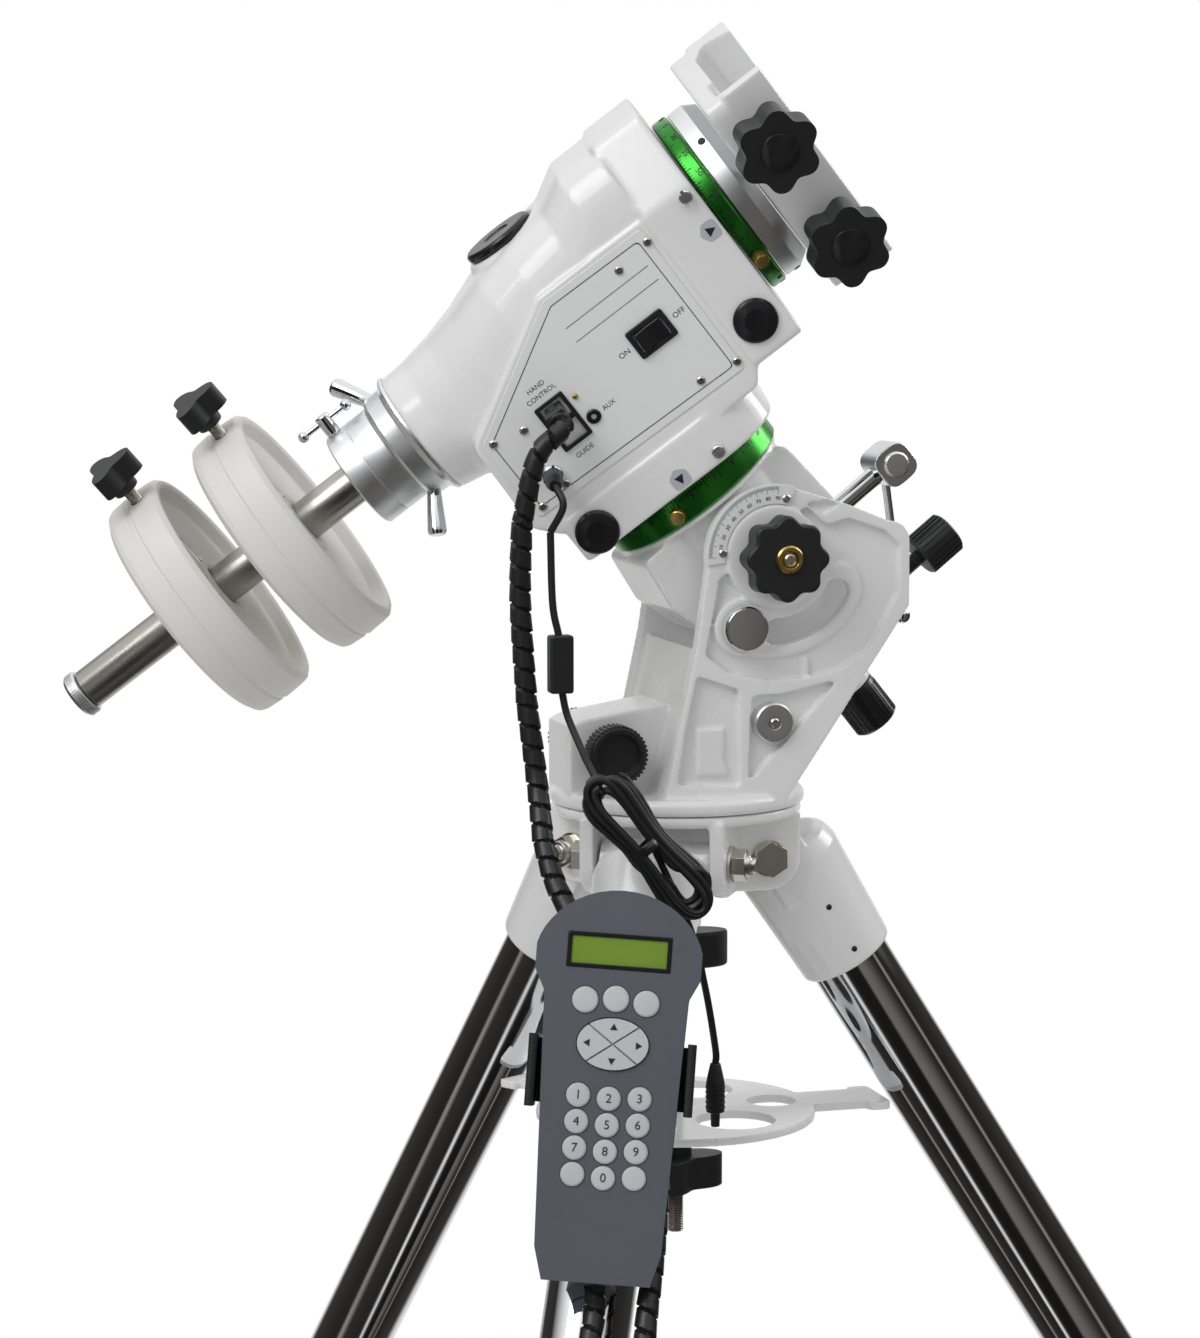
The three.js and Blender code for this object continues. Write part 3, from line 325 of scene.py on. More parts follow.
def lathe(profile, sides=72, soft=0.5):
    """Turns a profile of (radius, height) about z.

    It starts and ends on the axis, or closes on itself.
    """
    on_axis = profile[0][0] == 0
    points = list(profile) if on_axis else list(profile[:-1])
    if soft:
        points = rounded(points, soft, 3, closed=not on_axis)
    verts, rings = [], []
    for r, h in points:
        if r < 1e-6:
            rings.append([len(verts)])
            verts.append((0, 0, h))
            continue
        rings.append(list(range(len(verts), len(verts) + sides)))
        for k in range(sides):
            t = 2 * math.pi * k / sides
            verts.append((r * math.cos(t), r * math.sin(t), h))
    pairs = list(zip(rings, rings[1:]))
    if not on_axis:
        pairs.append((rings[-1], rings[0]))
    faces = []
    for low, high in pairs:
        for k in range(sides):
            k2 = (k + 1) % sides
            if len(low) == 1 and len(high) == 1:
                continue
            if len(low) == 1:
                faces.append((low[0], high[k2], high[k]))
            elif len(high) == 1:
                faces.append((low[k], low[k2], high[0]))
            else:
                faces.append((low[k], low[k2], high[k2], high[k]))
    return mesh_of(verts, faces)


def prism(outline, a, b, axis="z"):
    """An outline swept from a to b. Axis y takes x, z pairs, and axis x takes y, z pairs."""
    place = {"x": lambda u, v, t: (t, u, v), "y": lambda u, v, t: (u, t, v), "z": lambda u, v,
             t: (u, v, t)}[axis]
    count = len(outline)
    verts = [place(u, v, a) for u, v in outline] + [place(u, v, b) for u, v in outline]
    faces = [tuple(range(count)), tuple(range(2 * count - 1, count - 1, -1))]
    for k in range(count):
        k2 = (k + 1) % count
        faces.append((k, k2, count + k2, count + k))
    return mesh_of(verts, faces)


def box(x0, x1, y0, y1, z0, z1):
    return prism([(x0, y0), (x1, y0), (x1, y1), (x0, y1)], z0, z1)


def loft(rings):
    count = len(rings[0])
    verts = [p for ring in rings for p in ring]
    faces = [tuple(range(count)), tuple(range(len(verts) - 1, len(verts) - count - 1, -1))]
    for k in range(len(rings) - 1):
        for i in range(count):
            i2 = (i + 1) % count
            faces.append((k * count + i, k * count + i2, (k + 1) * count + i2, (k + 1) * count
                          + i))
    return mesh_of(verts, faces)


def ball(radius, x=0, y=0, z=0):
    made = bmesh.new()
    bmesh.ops.create_uvsphere(made, u_segments=32, v_segments=20, radius=radius * MM)
    bmesh.ops.translate(made, vec=Vector((x, y, z)) * MM, verts=made.verts)
    mesh = bpy.data.meshes.new("ball")
    made.to_mesh(mesh)
    made.free()
    return mesh


def moved(mesh, matrix):
    mesh.transform(matrix)
    return mesh


def at(mesh, x=0, y=0, z=0, lay="z", turn=0, tilt=0):
    return moved(mesh, spot(Matrix.Identity(4), x, y, z, lay, turn, tilt))


def merged(meshes):
    made = bmesh.new()
    for mesh in meshes:
        made.from_mesh(mesh)
    joined = bpy.data.meshes.new("joined")
    made.to_mesh(joined)
    made.free()
    return joined


def smooth_by_angle(mesh, degrees):
    mesh.polygons.foreach_set("use_smooth", [True] * len(mesh.polygons))
    mesh.set_sharp_from_angle(angle=math.radians(degrees))


def linked(name, data):
    made = bpy.data.objects.new(name, data)
    bpy.context.scene.collection.objects.link(made)
    return made


def finished(made):
    """The object's mesh with its modifiers applied."""
    bpy.context.view_layer.update()
    graph = bpy.context.evaluated_depsgraph_get()
    return bpy.data.meshes.new_from_object(made.evaluated_get(graph))


def piece(name, mesh, place, body, material, stands=(), bevel=0.0):
    """One visible piece: its mesh, place, body, finish, and the CAD nodes it stands for."""
    mesh.name = name
    made = linked(name, mesh)
    mesh.materials.clear()
    mesh.materials.append(material)
    smooth_by_angle(mesh, SHARP_DEGREES)
    made.matrix_world = place
    if bevel:
        rounding = made.modifiers.new("edge", "BEVEL")
        rounding.width = bevel * MM
        rounding.segments = BEVEL_STEPS
        rounding.limit_method = "ANGLE"
        rounding.angle_limit = math.radians(SHARP_DEGREES)
    if body:
        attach(made, body)
    if stands:
        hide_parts(*stands)
    return made


def cast(adds, cuts=(), voxel=1.2, rounds=4):
    """One casting: solids joined, tools cut away, and every edge softened."""
    base = linked("base", adds[0])
    groups = []
    for label, meshes, operation in (("adds", adds[1:], "UNION"), ("cuts", cuts, "DIFFERENCE")):
        if not meshes:
            continue
        group = bpy.data.collections.new(label)
        bpy.context.scene.collection.children.link(group)
        for mesh in meshes:
            group.objects.link(bpy.data.objects.new(label, mesh))
        tool = base.modifiers.new(label, "BOOLEAN")
        tool.operation = operation
        tool.operand_type = "COLLECTION"
        tool.collection = group
        tool.solver = "EXACT"
        groups.append(group)
    skin = base.modifiers.new("skin", "REMESH")
    skin.mode = "VOXEL"
    skin.voxel_size = voxel * MM * 1
    soften = base.modifiers.new("soften", "SMOOTH")
    soften.factor = 0.5
    soften.iterations = rounds
    result = finished(base)
    for group in groups:
        for old in list(group.objects):
            bpy.data.objects.remove(old)
        bpy.data.collections.remove(group)
    bpy.data.objects.remove(base)
    return result


def tube(points, radius, sides=12, spacing=3.0, wrap=None):
    """A tube along a smooth curve through the points. A wrap gives its skin a spiral groove."""
    curve = smooth_path(points, spacing)
    tangent = (curve[1] - curve[0]).normalized()
    across = tangent.orthogonal().normalized()
    verts, faces = [], []
    run = 0.0
    for i, here in enumerate(curve):
        ahead = curve[min(i + 1, len(curve) - 1)] - curve[max(i - 1, 0)]
        tangent = ahead.normalized()
        across = (across - tangent * across.dot(tangent)).normalized()
        other = tangent.cross(across)
        if i:
            run += (here - curve[i - 1]).length
        for k in range(sides):
            t = 2 * math.pi * k / sides
            r = radius
            if wrap:
                phase = (run / wrap + k / sides) % 1.0
                r = radius * (GROOVE_RADIUS if phase < GROOVE_SHARE else TURN_RADIUS + TURN_FLARE
                              * phase)
            verts.append(here + (across * math.cos(t) + other * math.sin(t)) * r)
    for i in range(len(curve) - 1):
        for k in range(sides):
            k2 = (k + 1) % sides
            faces.append((i * sides + k, i * sides + k2, (i + 1) * sides + k2, (i + 1) * sides
                          + k))
    faces.append(tuple(range(sides)))
    faces.append(tuple(range(len(verts) - 1, len(verts) - sides - 1, -1)))
    return mesh_of(verts, faces)


def smooth_path(points, spacing):
    """Evenly spaced points of a Catmull-Rom curve."""
    pts = [Vector(p) for p in points]
    pts = [pts[0] * 2 - pts[1]] + pts + [pts[-1] * 2 - pts[-2]]
    fine = []
    for i in range(1, len(pts) - 2):
        a, b, c, d = pts[i - 1:i + 3]
        for k in range(24):
            t = k / 24
            fine.append(0.5 * ((2 * b) + (c - a) * t + (2 * a - 5 * b + 4 * c - d) * t * t
                               + (3 * b - a - 3 * c + d) * t ** 3))
    fine.append(pts[-2])
    made = [fine[0]]
    need = spacing
    for a, b in zip(fine, fine[1:]):
        length = (b - a).length
        gone = 0.0
        while length - gone >= need:
            gone += need
            made.append(a.lerp(b, gone / length))
            need = spacing
        need -= length - gone
    if (made[-1] - fine[-1]).length > spacing * 0.3:
        made.append(fine[-1])
    return made


def lobed(radius, lobes, depth, per_lobe=24, power=0.85):
    """A grip outline: rounded lobes with smooth hollows between them."""
    made = []
    for i in range(lobes * per_lobe):
        t = 2 * math.pi * i / (lobes * per_lobe)
        r = radius * (1 - depth * (0.5 - 0.5 * math.cos(lobes * t)) ** power)
        made.append((r * math.cos(t), r * math.sin(t)))
    return made


def hexagon(across):
    r = across / math.sqrt(3)
    return [(r * math.cos(math.pi * k / 3), r * math.sin(math.pi * k / 3)) for k in range(6)]


def oval(a, b, u=0, v=0, sides=64):
    return [(u + a * math.cos(2 * math.pi * k / sides), v + b * math.sin(2 * math.pi * k / sides))
            for k in range(sides)]


def circle(radius, u, v):
    return oval(radius, radius, u, v)


def arc(u, v, radius, start, end, steps=16):
    return [(u + radius * math.cos(math.radians(start + (end - start) * k / steps)), v + radius
             * math.sin(math.radians(start + (end - start) * k / steps)))
            for k in range(steps + 1)]


def slotted(u, v, radius, half, start, end):
    """A curved slot's outline: an arc of a given radius and half width, with round ends."""
    def tip(angle):
        return (u + radius * math.cos(math.radians(angle)), v + radius
                * math.sin(math.radians(angle)))

    return (arc(u, v, radius + half, start, end, 24)
            + arc(*tip(end), half, end, end + 180, 10)[1:-1]
            + arc(u, v, radius - half, end, start, 24)
            + arc(*tip(start), half, start + 180, start + 360, 10)[1:-1])


def rect(u, v, width, height, r=0.0, steps=5):
    """A rectangle's outline about u, v, its corners rounded by r."""
    points = [(u - width / 2, v - height / 2), (u + width / 2, v - height / 2),
              (u + width / 2, v + height / 2), (u - width / 2, v + height / 2)]
    return rounded(points, r, steps) if r else points


def cylinder(radius, a, b, sides=48):
    return lathe([(0, a), (radius, a), (radius, b), (0, b)], sides, 0)


def screw_head(radius=2.6, height=1.4):
    """A pan-head screw with a crossed recess, its head rising along z."""
    head = lathe([(0, 0), (radius, 0), (radius, height * 0.45), (radius * 0.7, height),
                  (0, height)], 28, 0.3)
    return carve(head, *(prism(rect(0, 0, a, b), height * 0.5, height * 1.5) for a,
                         b in ((radius * 1.1, radius * 0.26), (radius * 0.26, radius * 1.1))))


def screws(name, places, body, radius=2.6, height=1.4, material=None):
    """One group of like screws, each rising along the z of its own place."""
    heads = [moved(screw_head(radius, height), places[0].inverted() @ p) for p in places]
    return piece(name, merged(heads), places[0], body, material or ZINC)


def spots_around(base, radius, height, angles):
    """Places on a drum about z, each facing outward."""
    return [spot(base @ Matrix.Rotation(math.radians(angle), 4, "Z"), radius, 0, height, "x")
            for angle in angles]


def carve(mesh, *cutters):
    """The mesh with solids cut out of it, edges left crisp."""
    made = linked("carved", mesh)
    tools = [linked("cutter", cutter) for cutter in cutters]
    for cutter in tools:
        tool = made.modifiers.new("cut", "BOOLEAN")
        tool.operation = "DIFFERENCE"
        tool.object = cutter
        tool.solver = "EXACT"
    result = finished(made)
    for old in (made, *tools):
        bpy.data.objects.remove(old)
    return result


def lettering(words, height, depth=0.15):
    """Flat lettering in the x, y plane, centred, with its face towards +z."""
    curve = bpy.data.curves.new("lettering", "FONT")
    curve.body = words
    curve.size = height * MM * FONT_SIZE_PER_HEIGHT
    curve.align_x = "CENTER"
    curve.align_y = "CENTER"
    curve.extrude = depth * MM
    curve.resolution_u = 3
    made = linked("lettering", curve)
    mesh = finished(made)
    bpy.data.objects.remove(made)
    return mesh


def thread(radius, a, b, pitch=1.5, sides=28):
    """A screw thread drawn as close rings."""
    profile = [(0, a)]
    h = a
    while h < b - pitch:
        profile += [(radius - pitch * 0.45, h), (radius, h + pitch * 0.45),
                    (radius, h + pitch * 0.6)]
        h += pitch
    profile += [(radius - pitch * 0.45, b), (0, b)]
    return lathe(profile, sides, 0)


def nut(across, a, b):
    return prism(hexagon(across), a, b)


def turned_z(mesh, degrees):
    return moved(mesh, Matrix.Rotation(math.radians(degrees), 4, "Z"))


def rib_ring(outline, low, high, count):
    """Like ribs set evenly about z."""
    return [turned_z(prism(outline, low, high), k * 360 / count) for k in range(count)]


def toothed_wheel(low, high, bore):
    """A fine-toothed drive wheel about z, with a hole through it."""
    teeth = []
    for k in range(288):
        a, r = math.pi * 2 * k / 288, 47 if k % 2 else 45.6
        teeth.append((r * math.cos(a), r * math.sin(a)))
    return carve(prism(teeth, low, high), cylinder(bore, 60, 120))


# ------------------------------------------------------------------- tripod

LEG_SPLAY = math.radians(32.5)
HINGE_HEIGHT = 736

def tripod_head():
    solids = [lathe([(6, 0), (73, 0), (76, 2), (76, 6), (75, 7), (6, 7), (6, 0)], 120, 0.8),
              lathe([(6, -44), (21, -44), (21, 3), (6, 3), (6, -44)], 96, 0.5),
              at(cylinder(6.5, 2, 45.5), -50)]
    lug = [(20.5, 3), (66, 3), (66, -24)] + arc(46, -24, 20, 0, -90, 12)[1:] + [(20.5, -44)]
    for i in range(3):
        for low, high in ((-44, -35.5), (35.5, 44)):
            solids.append(turned_z(prism(lug, low, high, "y"), 120 * i))
    piece("tripod_head_casting", cast([merged(solids)], (), 1.3), HUB, "tripod_hub", WHITE,
          ["tripod_hub"])
    for i, letter in enumerate(LEGS):
        place = spot(LEG[letter], lay="y")
        bolt = [thread(4.8, 44, 60), nut(17, 46, 54), nut(19, -52, -46), cylinder(11, 44.2, 46),
                cylinder(11, -46, -44.2), lathe([(0, 53), (7.6, 53), (6.6, 57), (0, 57)], 32, 0.5)]
        piece("leg_hinge_bolt_" + letter, merged(bolt), place, "tripod_hub", ZINC, bevel=0.25)


def tripod_legs():
    socket_adds = [at(lathe([(0, -95), (29.3, -95), (30, -93.5), (33.5, -22), (31, -13),
                             (26, -8.5), (0, -8)], 96, 1.0), 18),
                   at(cylinder(13, -34, 34), lay="y"), box(-4, 26, -30, 30, -40, -6)]
    above = moved(box(-80, 120, -60, 60, 23, 90), Matrix.Rotation(LEG_SPLAY, 4, "Y"))
    socket_cuts = [at(cylinder(25.7, -97, -38, 96), 18), at(cylinder(5.2, -40, 40), lay="y"),
                   above]
    socket = cast(socket_adds, socket_cuts, 1.3)
    floor = (HINGE_HEIGHT + 18 * math.sin(LEG_SPLAY)) / math.cos(LEG_SPLAY)
    for letter in LEGS:
        leg, body = LEG[letter], "leg_" + letter
        axis = spot(leg, 18)
        piece("leg_socket_casting_" + letter, socket.copy(), leg, body, WHITE,
              ["leg_socket_" + letter])
        piece("chrome_leg_tube_" + letter, lathe([(23.4, -590), (25.4, -590), (25.4, -39),
                                                  (23.4, -39), (23.4, -590)], 96, 0.3), axis, body,
              CHROME, ["leg_tube_" + letter])
        collar = [lathe([(22.6, -640), (28, -640), (31, -636), (31, -551), (29.5, -548),
                         (25.7, -548), (25.7, -590.3), (22.6, -590.3), (22.6, -640)], 72, 0.8),
                  at(lathe([(0, 27), (11, 27), (11, 39), (10, 40), (0, 40)], 40), z=-618, lay="x")]
        piece("leg_clamp_collar_" + letter, merged(collar), axis, body, WHITE,
              ["leg_clamp_" + letter])
        knob = [prism(lobed(19, 3, 0.48), 41, 57), cylinder(4, 23.4, 42, 24)]
        piece("leg_clamp_knob_" + letter, merged(knob), spot(axis, z=-618, lay="x"), "leg_knob_"
              + letter, BLACK, ["leg_lock_knob_" + letter], bevel=1.6)
        below = moved(box(-200, 200, -60, 60, -90, 0), Matrix.Rotation(LEG_SPLAY, 4, "Y"))
        below.transform(Matrix.Translation(Vector((0, 0, -floor)) * MM))
        foot = carve(lathe([(0, -floor - 40), (15, -floor - 40), (19, -floor + 14), (25, -846),
                            (25, -826), (23.5, -824), (0, -824)], 72, 1.0), below)
        piece("chrome_leg_slider_" + letter, lathe([(20.2, -830), (22.2, -830), (22.2, -180),
                                                    (20.2, -180), (20.2, -830)], 96, 0.3), axis,
              "leg_slider_" + letter, CHROME, ["leg_slider_" + letter])
        piece("rubber_foot_" + letter, foot, axis, "leg_slider_" + letter, BLACK)
        screws("socket_set_screws_" + letter, [spot(leg, 18, -32.0, -52, "-y"),
                                               spot(leg, 18, -30.4, -84, "-y")], body, 1.8, 0.8,
               INK)


def tray_and_bolt():
    adds = [cylinder(86, -5, 0, 96), cylinder(15, -22, 0)]
    cuts = [cylinder(5.6, -30, 10)]
    for i in range(3):
        adds.append(turned_z(prism(rect(86, 0, 94, 34), -5, 0), 120 * i))
        adds.append(turned_z(prism(rect(126, 0, 14, 46, 3), -5, 0), 120 * i))
        cuts.append(turned_z(at(cylinder(24, -20, 10), 50), 120 * i + 60))
        cuts.append(turned_z(at(cylinder(15, -20, 10), 62), 120 * i))
    piece("eyepiece_tray", cast(adds, cuts, 1.0, 3), spot(HUB, z=-184), "tray", WHITE,
          ["spreader_tray"])
    knob = carve(prism(lobed(30, 3, 0.48), -50, -30), cylinder(5.5, -60, 0))
    piece("tray_wing_knob", merged([knob, lathe([(5.5, -32), (10, -32), (10, -23), (5.5, -23),
                                                 (5.5, -32)], 40)]), spot(HUB, z=-184),
          "tray_knob", BLACK, ["tray_knob"], bevel=1.8)
    piece("mounting_rod", thread(5, -262, 16), HUB, "mounting_bolt", STEEL,
          ["mounting_bolt"])
    grip = [prism(lobed(33, 3, 0.48), -96, -74), cylinder(11, -76, -50)]
    piece("mounting_rod_knob", merged(grip), HUB, "mounting_bolt", BLACK,
          bevel=1.8)


# ------------------------------------------------------------- azimuth base

PIVOT = (42, 160)
PLATE = ([(-27, 9.5), (-6, 108), (0, 150)] + arc(*PIVOT, 42, 188, 75, 20) + [(88, 190), (113, 180)]
         + arc(114, 167, 13, 70, 0, 8) + [(127, 129), (102, 92), (84, 64), (47, 9.5)])
RECESS = [(62, 189), (74, 178), (88, 182), (112, 174), (121, 165), (120, 136), (102, 103),
          (83, 91), (62, 87), (39, 86), (14, 91), (-1, 102), (3, 122), (8, 148), (24, 156),
          (30, 176)]
LOW_POCKET = [(-6, 90), (20, 81), (21, 23), (-18, 25), (-13, 59)]
LOW_STEP = [(-5, 58), (12, 58), (11, 40), (15, 30), (-5, 30)]
TRIANGLE = [(28, 77), (45, 77.5), (84, 86), (25.5, 24)]
TOP_NOTCH = [(59, 191.5), (76, 193), (83, 190), (72, 184)]


def side_plate(sign):
    def slab(outline, low, high):
        a, b = sorted((sign * low, sign * high))
        return prism(outline, a, b, "y")
    plate = carve(slab(PLATE, 53, 64), slab(rounded(RECESS, 4, 3), 59, 70),
                  slab(rounded(LOW_POCKET, 2.5, 3), 58.5, 70),
                  slab(rounded(TRIANGLE, 3, 3), 58.5, 70), slab(rounded(TOP_NOTCH, 2, 3), 60, 70))
    adds = [plate, slab(circle(30, *PIVOT), 56, 65.5),
            slab(slotted(*PIVOT, 45.5, 14.5, 256, 335), 56, 62.5),
            slab(rounded(LOW_STEP, 1.5, 2), 57, 61), slab(circle(17, 22, 118), 56, 63.4),
            slab(rounded([(60, 99), (64, 99), (64, 88), (60, 88)], 1, 2), 57, 62.5)]
    cuts = [slab(slotted(*PIVOT, 45.5, 8, 272, 331), 50, 70), slab(circle(8.6, *PIVOT), 50, 70),
            slab(circle(2.6, 48.8, 119.3), 52, 70)]
    return adds, cuts


def azimuth_base():
    adds = [lathe([(0, 7.5), (76, 7.5), (78, 9.5), (78, 14), (75.5, 17), (0, 17)], 120, 0.8)]
    cuts = [box(-66, -34, -16, 16, 2, 52), cylinder(6, 2, 48),
            at(cylinder(5.4, -40, 40), -50, 0, 42, "y")]
    for sign in (-1, 1):
        more, away = side_plate(sign)
        adds += more
        cuts += away
    adds.append(prism([(-24, 16), (-2, 104), (8, 101), (-2, 16)], -54, 54, "y"))
    adds.append(prism([(-74, 16), (-74, 57), (-66, 61), (-14, 70), (-8, 16)], -25, 25, "y"))
    piece("azimuth_casting", cast(adds, cuts, 1.1, 4), HUB, "azimuth_base", WHITE,
          ["azimuth_base"])
    cap = lathe([(0, -64.4), (13.5, -64.4), (13.5, -72.5), (12.4, -74), (0, -74)], 72, 0.7)
    piece("altitude_cap_chrome", cap, spot(HUB, 22, 0, 118, "y"), "azimuth_base", CHROME,
          ["altitude_bolt_cap"])
    disc = lathe([(0, 57), (12, 57), (12, 67), (11, 68), (4, 68), (3.4, 67), (0, 67)], 72, 0.5)
    piece("plate_disc_bolt", disc, spot(HUB, 41, 0, 61, "-y"), "azimuth_base", ALUMINIUM)
    screws("plate_disc_screw", [spot(HUB, 41, -67.4, 61, "-y")], "azimuth_base", 3, 1.6)
    latitude_scale()
    for side, label in ((-1, "near"), (1, "far")):
        lay = "-y" if side < 0 else "y"
        body = "azimuth_knob_" + label
        grip = lathe([(0, 34), (16.5, 34), (17.4, 35), (17.4, 48.4), (16, 50), (13.4, 50),
                      (12, 46.5), (0, 46.2)], 96, 0.5)
        ribs = rib_ring(rect(17.2, 0, 1.7, 1.5, 0.4, 2), 35, 49, 40)
        piece("azimuth_screw_knob_" + label, merged([grip, *ribs]), spot(HUB, -50, 0, 42, lay),
              body, BLACK, [body])
        piece("azimuth_screw_thread_" + label, thread(4.9, 7.8, 35), spot(HUB, -50, 0, 42, lay),
              body, ZINC)
    knob = [prism(lobed(25.5, 8, 0.14, 20, 1.2), 72, 90), cylinder(15, 67, 73),
            cylinder(8, 57, 69)]
    place = spot(HUB, 42, 0, 160, "-y")
    piece("altitude_lobe_knob", merged(knob), place, "altitude_lock_knob", BLACK,
          ["altitude_lock_knob"], bevel=1.8)
    insert = lathe([(0, 85), (8.4, 85), (8.4, 92), (7.4, 93), (5.2, 93), (4.6, 91), (0, 91)], 64,
                   0.4)
    piece("altitude_knob_insert", insert, place, "altitude_lock_knob", BRASS)
    screws("altitude_knob_screw", [spot(HUB, 42, -91, 160, "-y")], "altitude_lock_knob", 4, 2.2)


def latitude_scale():
    pad = arc(*PIVOT, 43.0, 186, 74, 40) + arc(*PIVOT, 31.2, 74, 186, 40)
    piece("latitude_scale_plate", prism(pad, -65.4, -63.9, "y"), HUB, "azimuth_base", PANEL,
          bevel=0.3)
    ticks, digits = [], []
    face = spot(Matrix.Identity(4), PIVOT[0], -65.4, PIVOT[1], "-y")
    for k in range(91):
        angle = math.radians(180 - k * 1.02)
        length = 4.2 if k % 10 == 0 else 3.0 if k % 5 == 0 else 2.0
        tick = box(41.6 - length, 41.6, -0.11, 0.11, 0, 0.12)
        ticks.append(moved(tick, face @ Matrix.Rotation(angle, 4, "Z")))
        if k % 10 == 0 and k:
            label = moved(lettering(str(k), 2.3), Matrix.Translation(Vector((0, 34.6, 0)) * MM))
            swing = Matrix.Rotation(angle - math.pi / 2, 4, "Z")
            digits.append(moved(label, face @ swing))
    piece("latitude_scale_ticks", merged(ticks), HUB, "azimuth_base", INK)
    piece("latitude_scale_digits", merged(digits), HUB, "azimuth_base", INK)
    ends = [spot(HUB, x, -65.3, z, "-y") for x, z in ((9.1, 162.5), (48.3, 194.3))]
    screws("latitude_scale_screws", ends, "azimuth_base", 2.6, 1.3)


# ------------------------------------------------------------ polar housing


def ring_circle(name, place, body, stands, low, high, screw_at, figure, scale_on_top):
    """A setting circle: an anodised ring with a bevelled edge and a scale round its rim."""
    scale_edges = (high, low) if scale_on_top else (low, high)
    dial = dial_finish(name + "_green", (0.035, 0.27, 0.03), 180, *scale_edges)
    profile = [(40.4, low), (58.6, low), (60, low + 1.2), (60, high - 1.4), (58.6, high),
               (55, high), (54, high - 0.8), (42, high - 0.8), (40.4, high - 0.8), (40.4, low)]
    piece(name, lathe(profile, 144, 0.35), place, body, dial, stands)
    figures = []
    for k in range(24):
        stand = (Matrix.Rotation(math.radians(k * 15), 4, "Z")
                 @ Matrix.Translation(Vector((60.0, 0, low + (high - low) * 0.68)) * MM)
                 @ Matrix.Rotation(math.radians(90), 4, "Z")
                 @ Matrix.Rotation(math.radians(90), 4, "X"))
        figures.append(moved(lettering(str(figure(k)), 3.6), stand))
    piece(name + "_figures", merged(figures), place, body, INK)
    thumb = [lathe([(0, 60.2), (4.4, 60.2), (4.4, 66.4), (3.8, 67), (0, 67)], 24, 0.3)]
    thumb += rib_ring(rect(4.4, 0, 0.8, 0.7), 61, 66.6, 18)
    middle = low + (high - low) * 0.45
    base = place @ Matrix.Rotation(math.radians(screw_at), 4, "Z")
    piece(name + "_thumb_screw", merged(thumb), spot(base, z=middle, lay="x"), body, BRASS)


def polar_housing():
    body = rounded([(-60, 43), (-62, 27), (-64, 10), (-56, -16), (-40, -45), (-20, -62), (20, -62),
                    (45, -30), (56, -6), (52, 37), (50, 43)], 5, 4)
    adds = [prism(body, -40, 40, "y"), lathe([(0, -62), (34, -62), (44, -40), (51, 0), (51, 42.4),
                                              (57, 44), (58, 45), (58, 47.2), (0, 47.2)], 96, 0.8),
            at(cylinder(27, -52.7, 52.7, 64), lay="y"),
            lathe([(0, -112), (15, -112), (15, -80), (20, -61), (0, -61)], 64),
            box(30, 58.3, -9, 9, -30, -10), box(8, 56, -8.5, 8.5, -86, -70),
            lathe([(0, 47), (40, 47), (40, 64.6), (22, 64.6), (22, 90), (0, 90)], 96, 0.3)]
    cuts = [cylinder(11, -120, 100), at(cylinder(8.4, -60, -44), lay="y"),
            at(cylinder(5.4, 38, 60), z=-78, lay="x")]
    piece("polar_axis_casting", cast(adds, cuts, 1.3, 4), ALT, "polar_housing", WHITE,
          ["polar_housing"])
    cap = [lathe([(0, -141), (12.5, -141), (14.5, -139), (14.5, -112.6), (0, -112.6)], 64, 0.8)]
    cap += rib_ring(rect(14.4, 0, 0.9, 1.1), -139, -116, 30)
    piece("polar_eyepiece_cover", merged(cap), ALT, "polar_housing", GLOSS_BLACK,
          ["polar_eyepiece_cap"])
    piece("ra_drive_wheel", toothed_wheel(72, 84, 22.4), ALT, "polar_housing", BRASS,
          ["ra_worm_wheel"])
    ring_circle("ra_dial", ALT, "ra_circle", ["ra_setting_circle"], 47.5, 65.2, -118, lambda k: k,
                True)
    altitude_adjuster()
    screws("polar_barrel_screws", spots_around(ALT, 50.6, 24, (-160, -100, -40, 20)),
           "polar_housing", 2, 1.0, INK)


def altitude_adjuster():
    block = prism(rounded([(93, -32), (117, -32), (117, -8), (93, -8)], 9, 5), -14, 14, "y")
    link = merged([at(cylinder(6, 58.5, 95), z=-20, lay="x"), block])
    piece("altitude_link_rod", link, ALT, "polar_housing", CHROME, ["altitude_link"],
          bevel=0.8)
    button = lathe([(0, 14), (8, 14), (8, 15.2), (6.8, 16), (0, 16)], 40, 0.4)
    for lay, label in (("-y", "near"), ("y", "far")):
        piece("altitude_link_button_" + label, button.copy(), spot(ALT, 105, 0, -20, lay),
              "polar_housing", ALUMINIUM)
    bar = [cylinder(2.6, -96, 0, 24), ball(5, z=-96)]
    place = spot(ALT, 105, 9.5, -20, tilt=31)
    piece("altitude_bar", merged(bar), place, "polar_housing", CHROME,
          ["altitude_tommy_bar"])
    knob = [lathe([(0, 84.5), (12.4, 84.5), (13.2, 85.5), (13.2, 109), (12, 110), (0, 110)], 72,
                  0.6)]
    knob += rib_ring(rect(13.2, 0, 1.5, 1.3, 0.3, 2), 86, 108.6, 24)
    knob += [thread(4.9, 40, 85)]
    piece("altitude_screw_knob", merged(knob), spot(ALT, z=-78, lay="x"), "altitude_knob", BLACK,
          ["altitude_knob"])


# --------------------------------------------------------------------- head

# Centres of the two worm covers on the near face, and of the power socket, as x, z.
DEC_WORM = (92, -57)
RA_WORM = (-57, -100)
POWER_SOCKET = (-57, -57)


